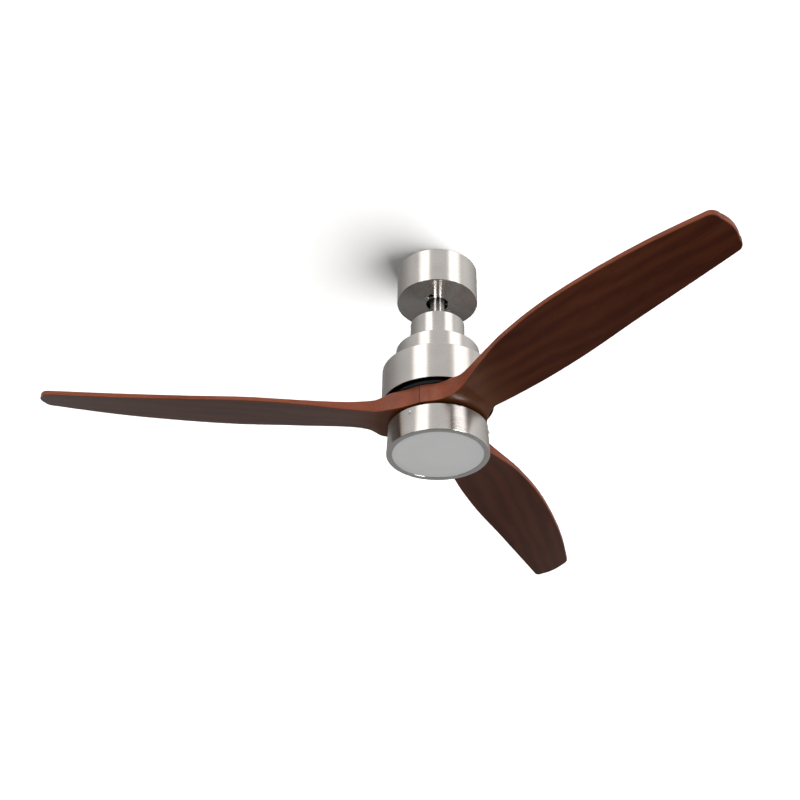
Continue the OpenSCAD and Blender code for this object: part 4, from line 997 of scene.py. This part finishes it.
def build_world():
    """Studio surroundings: soft light on everything, and tall light strips that only gloss reflects."""
    world = bpy.data.worlds.new("studio")
    bpy.context.scene.world = world
    world.use_nodes = True
    f = Nodes(world.node_tree)
    sky = f.add("ShaderNodeTexCoord").outputs["Generated"]
    parts = f.add("ShaderNodeSeparateXYZ", {"Vector": sky}).outputs
    front = f.maths("MULTIPLY", parts["Y"], -1.0)
    azimuth = f.maths("MULTIPLY", f.maths("ARCTAN2", parts["X"], front), 180 / math.pi)
    height = f.levels(parts["Z"], -1.0, 1.0)

    def by_height(*stops):
        """Light at heights from 0, straight down, to 1, straight up: each stop is (height, light)."""
        return f.add("ShaderNodeSeparateColor", {
            "Color": f.ramp(height, *[(place, (light,) * 3) for place, light in stops]),
        }).outputs[0]

    def strip(start, end, light, soft=1.2):
        """A strip between two azimuths in degrees, with its light given by height."""
        rise = f.levels(azimuth, start - soft, start + soft)
        fall = f.levels(azimuth, end - soft, end + soft, 1.0, 0.0)
        return f.maths("MULTIPLY", f.maths("MULTIPLY", rise, fall), light)

    behind = by_height((0.08, 0.01), (0.15, 0.05), (0.25, 0.28), (0.45, 0.34), (0.78, 0.30), (1.0, 0.25))
    ahead = by_height((0.05, 0.03), (0.34, 0.10), (0.52, 0.50), (0.62, 0.86), (1.0, 0.90))
    turned = f.levels(front, -0.45, 0.35)
    shine = f.maths("ADD", f.maths("MULTIPLY", turned, ahead),
                    f.maths("MULTIPLY", f.maths("SUBTRACT", 1.0, turned), behind))
    tall = by_height((0.28, 0.0), (0.38, 2.3), (0.62, 2.1), (0.80, 1.0), (1.0, 0.8))
    for shape in [(*ends, tall) for ends in BRIGHT_STRIPS] + list(DARK_STRIPS):
        shine = f.maths("ADD", shine, strip(*shape))
    shine = f.maths("ADD", shine, strip(*SIDE_GLOW, soft=10))

    plain = by_height((0.0, 0.36), (0.45, 0.42), (0.60, 0.60), (1.0, 0.70))
    path = f.add("ShaderNodeLightPath").outputs
    light = f.add("ShaderNodeMix", {0: path["Is Glossy Ray"], 2: plain, 3: shine}).outputs[0]
    lit = f.add("ShaderNodeBackground", {"Color": (1.0, 0.985, 0.965, 1.0), "Strength": light})
    seen = f.add("ShaderNodeBackground", {"Color": (0.96, 0.96, 0.96, 1.0), "Strength": 1.0})
    mixer = f.add("ShaderNodeMixShader", {0: path["Is Camera Ray"]})
    f.tree.links.new(lit.outputs[0], mixer.inputs[1])
    f.tree.links.new(seen.outputs[0], mixer.inputs[2])
    output = f.add("ShaderNodeOutputWorld")
    f.tree.links.new(mixer.outputs[0], output.inputs["Surface"])


def aim(thing, direction):
    thing.rotation_mode = "QUATERNION"
    thing.rotation_quaternion = Vector(direction).to_track_quat("-Z", "Y")


def linked(name, things):
    """A collection that a light's linking refers to."""
    group = bpy.data.collections.new(name)
    for thing in things:
        group.objects.link(thing)
    return group


def build_card(name, azimuth, energy, shines_on):
    """A low upright light card in front of the fan that lights only the given pieces."""
    card = bpy.data.lights.new(name, "AREA")
    card.shape = "RECTANGLE"
    card.size, card.size_y = CARD_WIDTH, CARD_HEIGHT
    card.energy = energy
    stand = new_object(name, card)
    turn = math.radians(azimuth)
    stand.location = (CARD_DISTANCE * math.sin(turn), -CARD_DISTANCE * math.cos(turn), CARD_Z)
    aim(stand, CARD_TARGET - stand.location)
    stand.light_linking.receiver_collection = linked(name + "_on", shines_on)
    stand.visible_camera = False


def build_lights(ceiling, casters):
    """A very soft sun that lights only the ceiling, shaded only by the casters, and a panel below the fan."""
    wash = bpy.data.lights.new("ceiling_wash", "SUN")
    wash.energy = 15.2
    wash.angle = math.radians(92)
    sun = new_object("ceiling_wash", wash)
    aim(sun, (-0.80, -0.32, 0.50))
    sun.light_linking.receiver_collection = linked("lit_by_wash", [ceiling])
    sun.light_linking.blocker_collection = linked("wash_shadows", casters)

    panel = bpy.data.lights.new("under_panel", "AREA")
    panel.shape = "DISK"
    panel.size = 2.2
    panel.energy = 15.5
    fill = new_object("under_panel", panel)
    fill.location = PANEL_AT
    aim(fill, PANEL_TARGET - PANEL_AT)
    fill.visible_glossy = False
    fill.visible_camera = False


def build_camera():
    """The main view: from in front and well below, looking up."""
    pitch, yaw, roll = math.radians(33.52), math.radians(2.10), math.radians(-1.49)
    forward = Vector((math.sin(yaw) * math.cos(pitch), math.cos(yaw) * math.cos(pitch), math.sin(pitch)))
    right = Vector((math.cos(yaw), -math.sin(yaw), 0))
    up = right.cross(forward)
    tilted_right = math.cos(roll) * right + math.sin(roll) * up
    tilted_up = math.cos(roll) * up - math.sin(roll) * right
    lens = bpy.data.cameras.new("camera")
    lens.lens = 52.8
    lens.sensor_width = 36.0
    lens.shift_x = -0.092
    lens.shift_y = -0.0327
    lens.clip_start = 0.01
    lens.clip_end = 200.0
    eye = new_object("camera", lens)
    turn = Matrix((tilted_right, tilted_up, -forward)).transposed().to_4x4()
    eye.matrix_world = Matrix.Translation(CAMERA_AT) @ turn
    bpy.context.scene.camera = eye
    bpy.context.scene.view_settings.view_transform = "Standard"


# ---------------------------------------------------------------- build

build_camera()
canopy = build_canopy()
build_tier("coupling_tier", "coupling_cover", ROD_R + 0.6)
build_tier("driver_tier", "driver_housing", 36.0)
build_tier("motor_tier", "motor_housing", 30.0, lip=0.55)
rod = build_downrod()
lamp = build_lamp()
build_blades()
build_screws()

for node, thing in NODES.items():
    if not thing.hide_render:
        thing.data.materials.clear()
        thing.data.materials.append(finish_of(SLOT_OF[node]))

stage_ceiling = build_stage()
build_world()
build_lights(stage_ceiling, [canopy])
build_card("right_card", azimuth=47, energy=52.0, shines_on=[lamp, rod])
build_card("left_card", azimuth=-33, energy=64.0, shines_on=[rod])
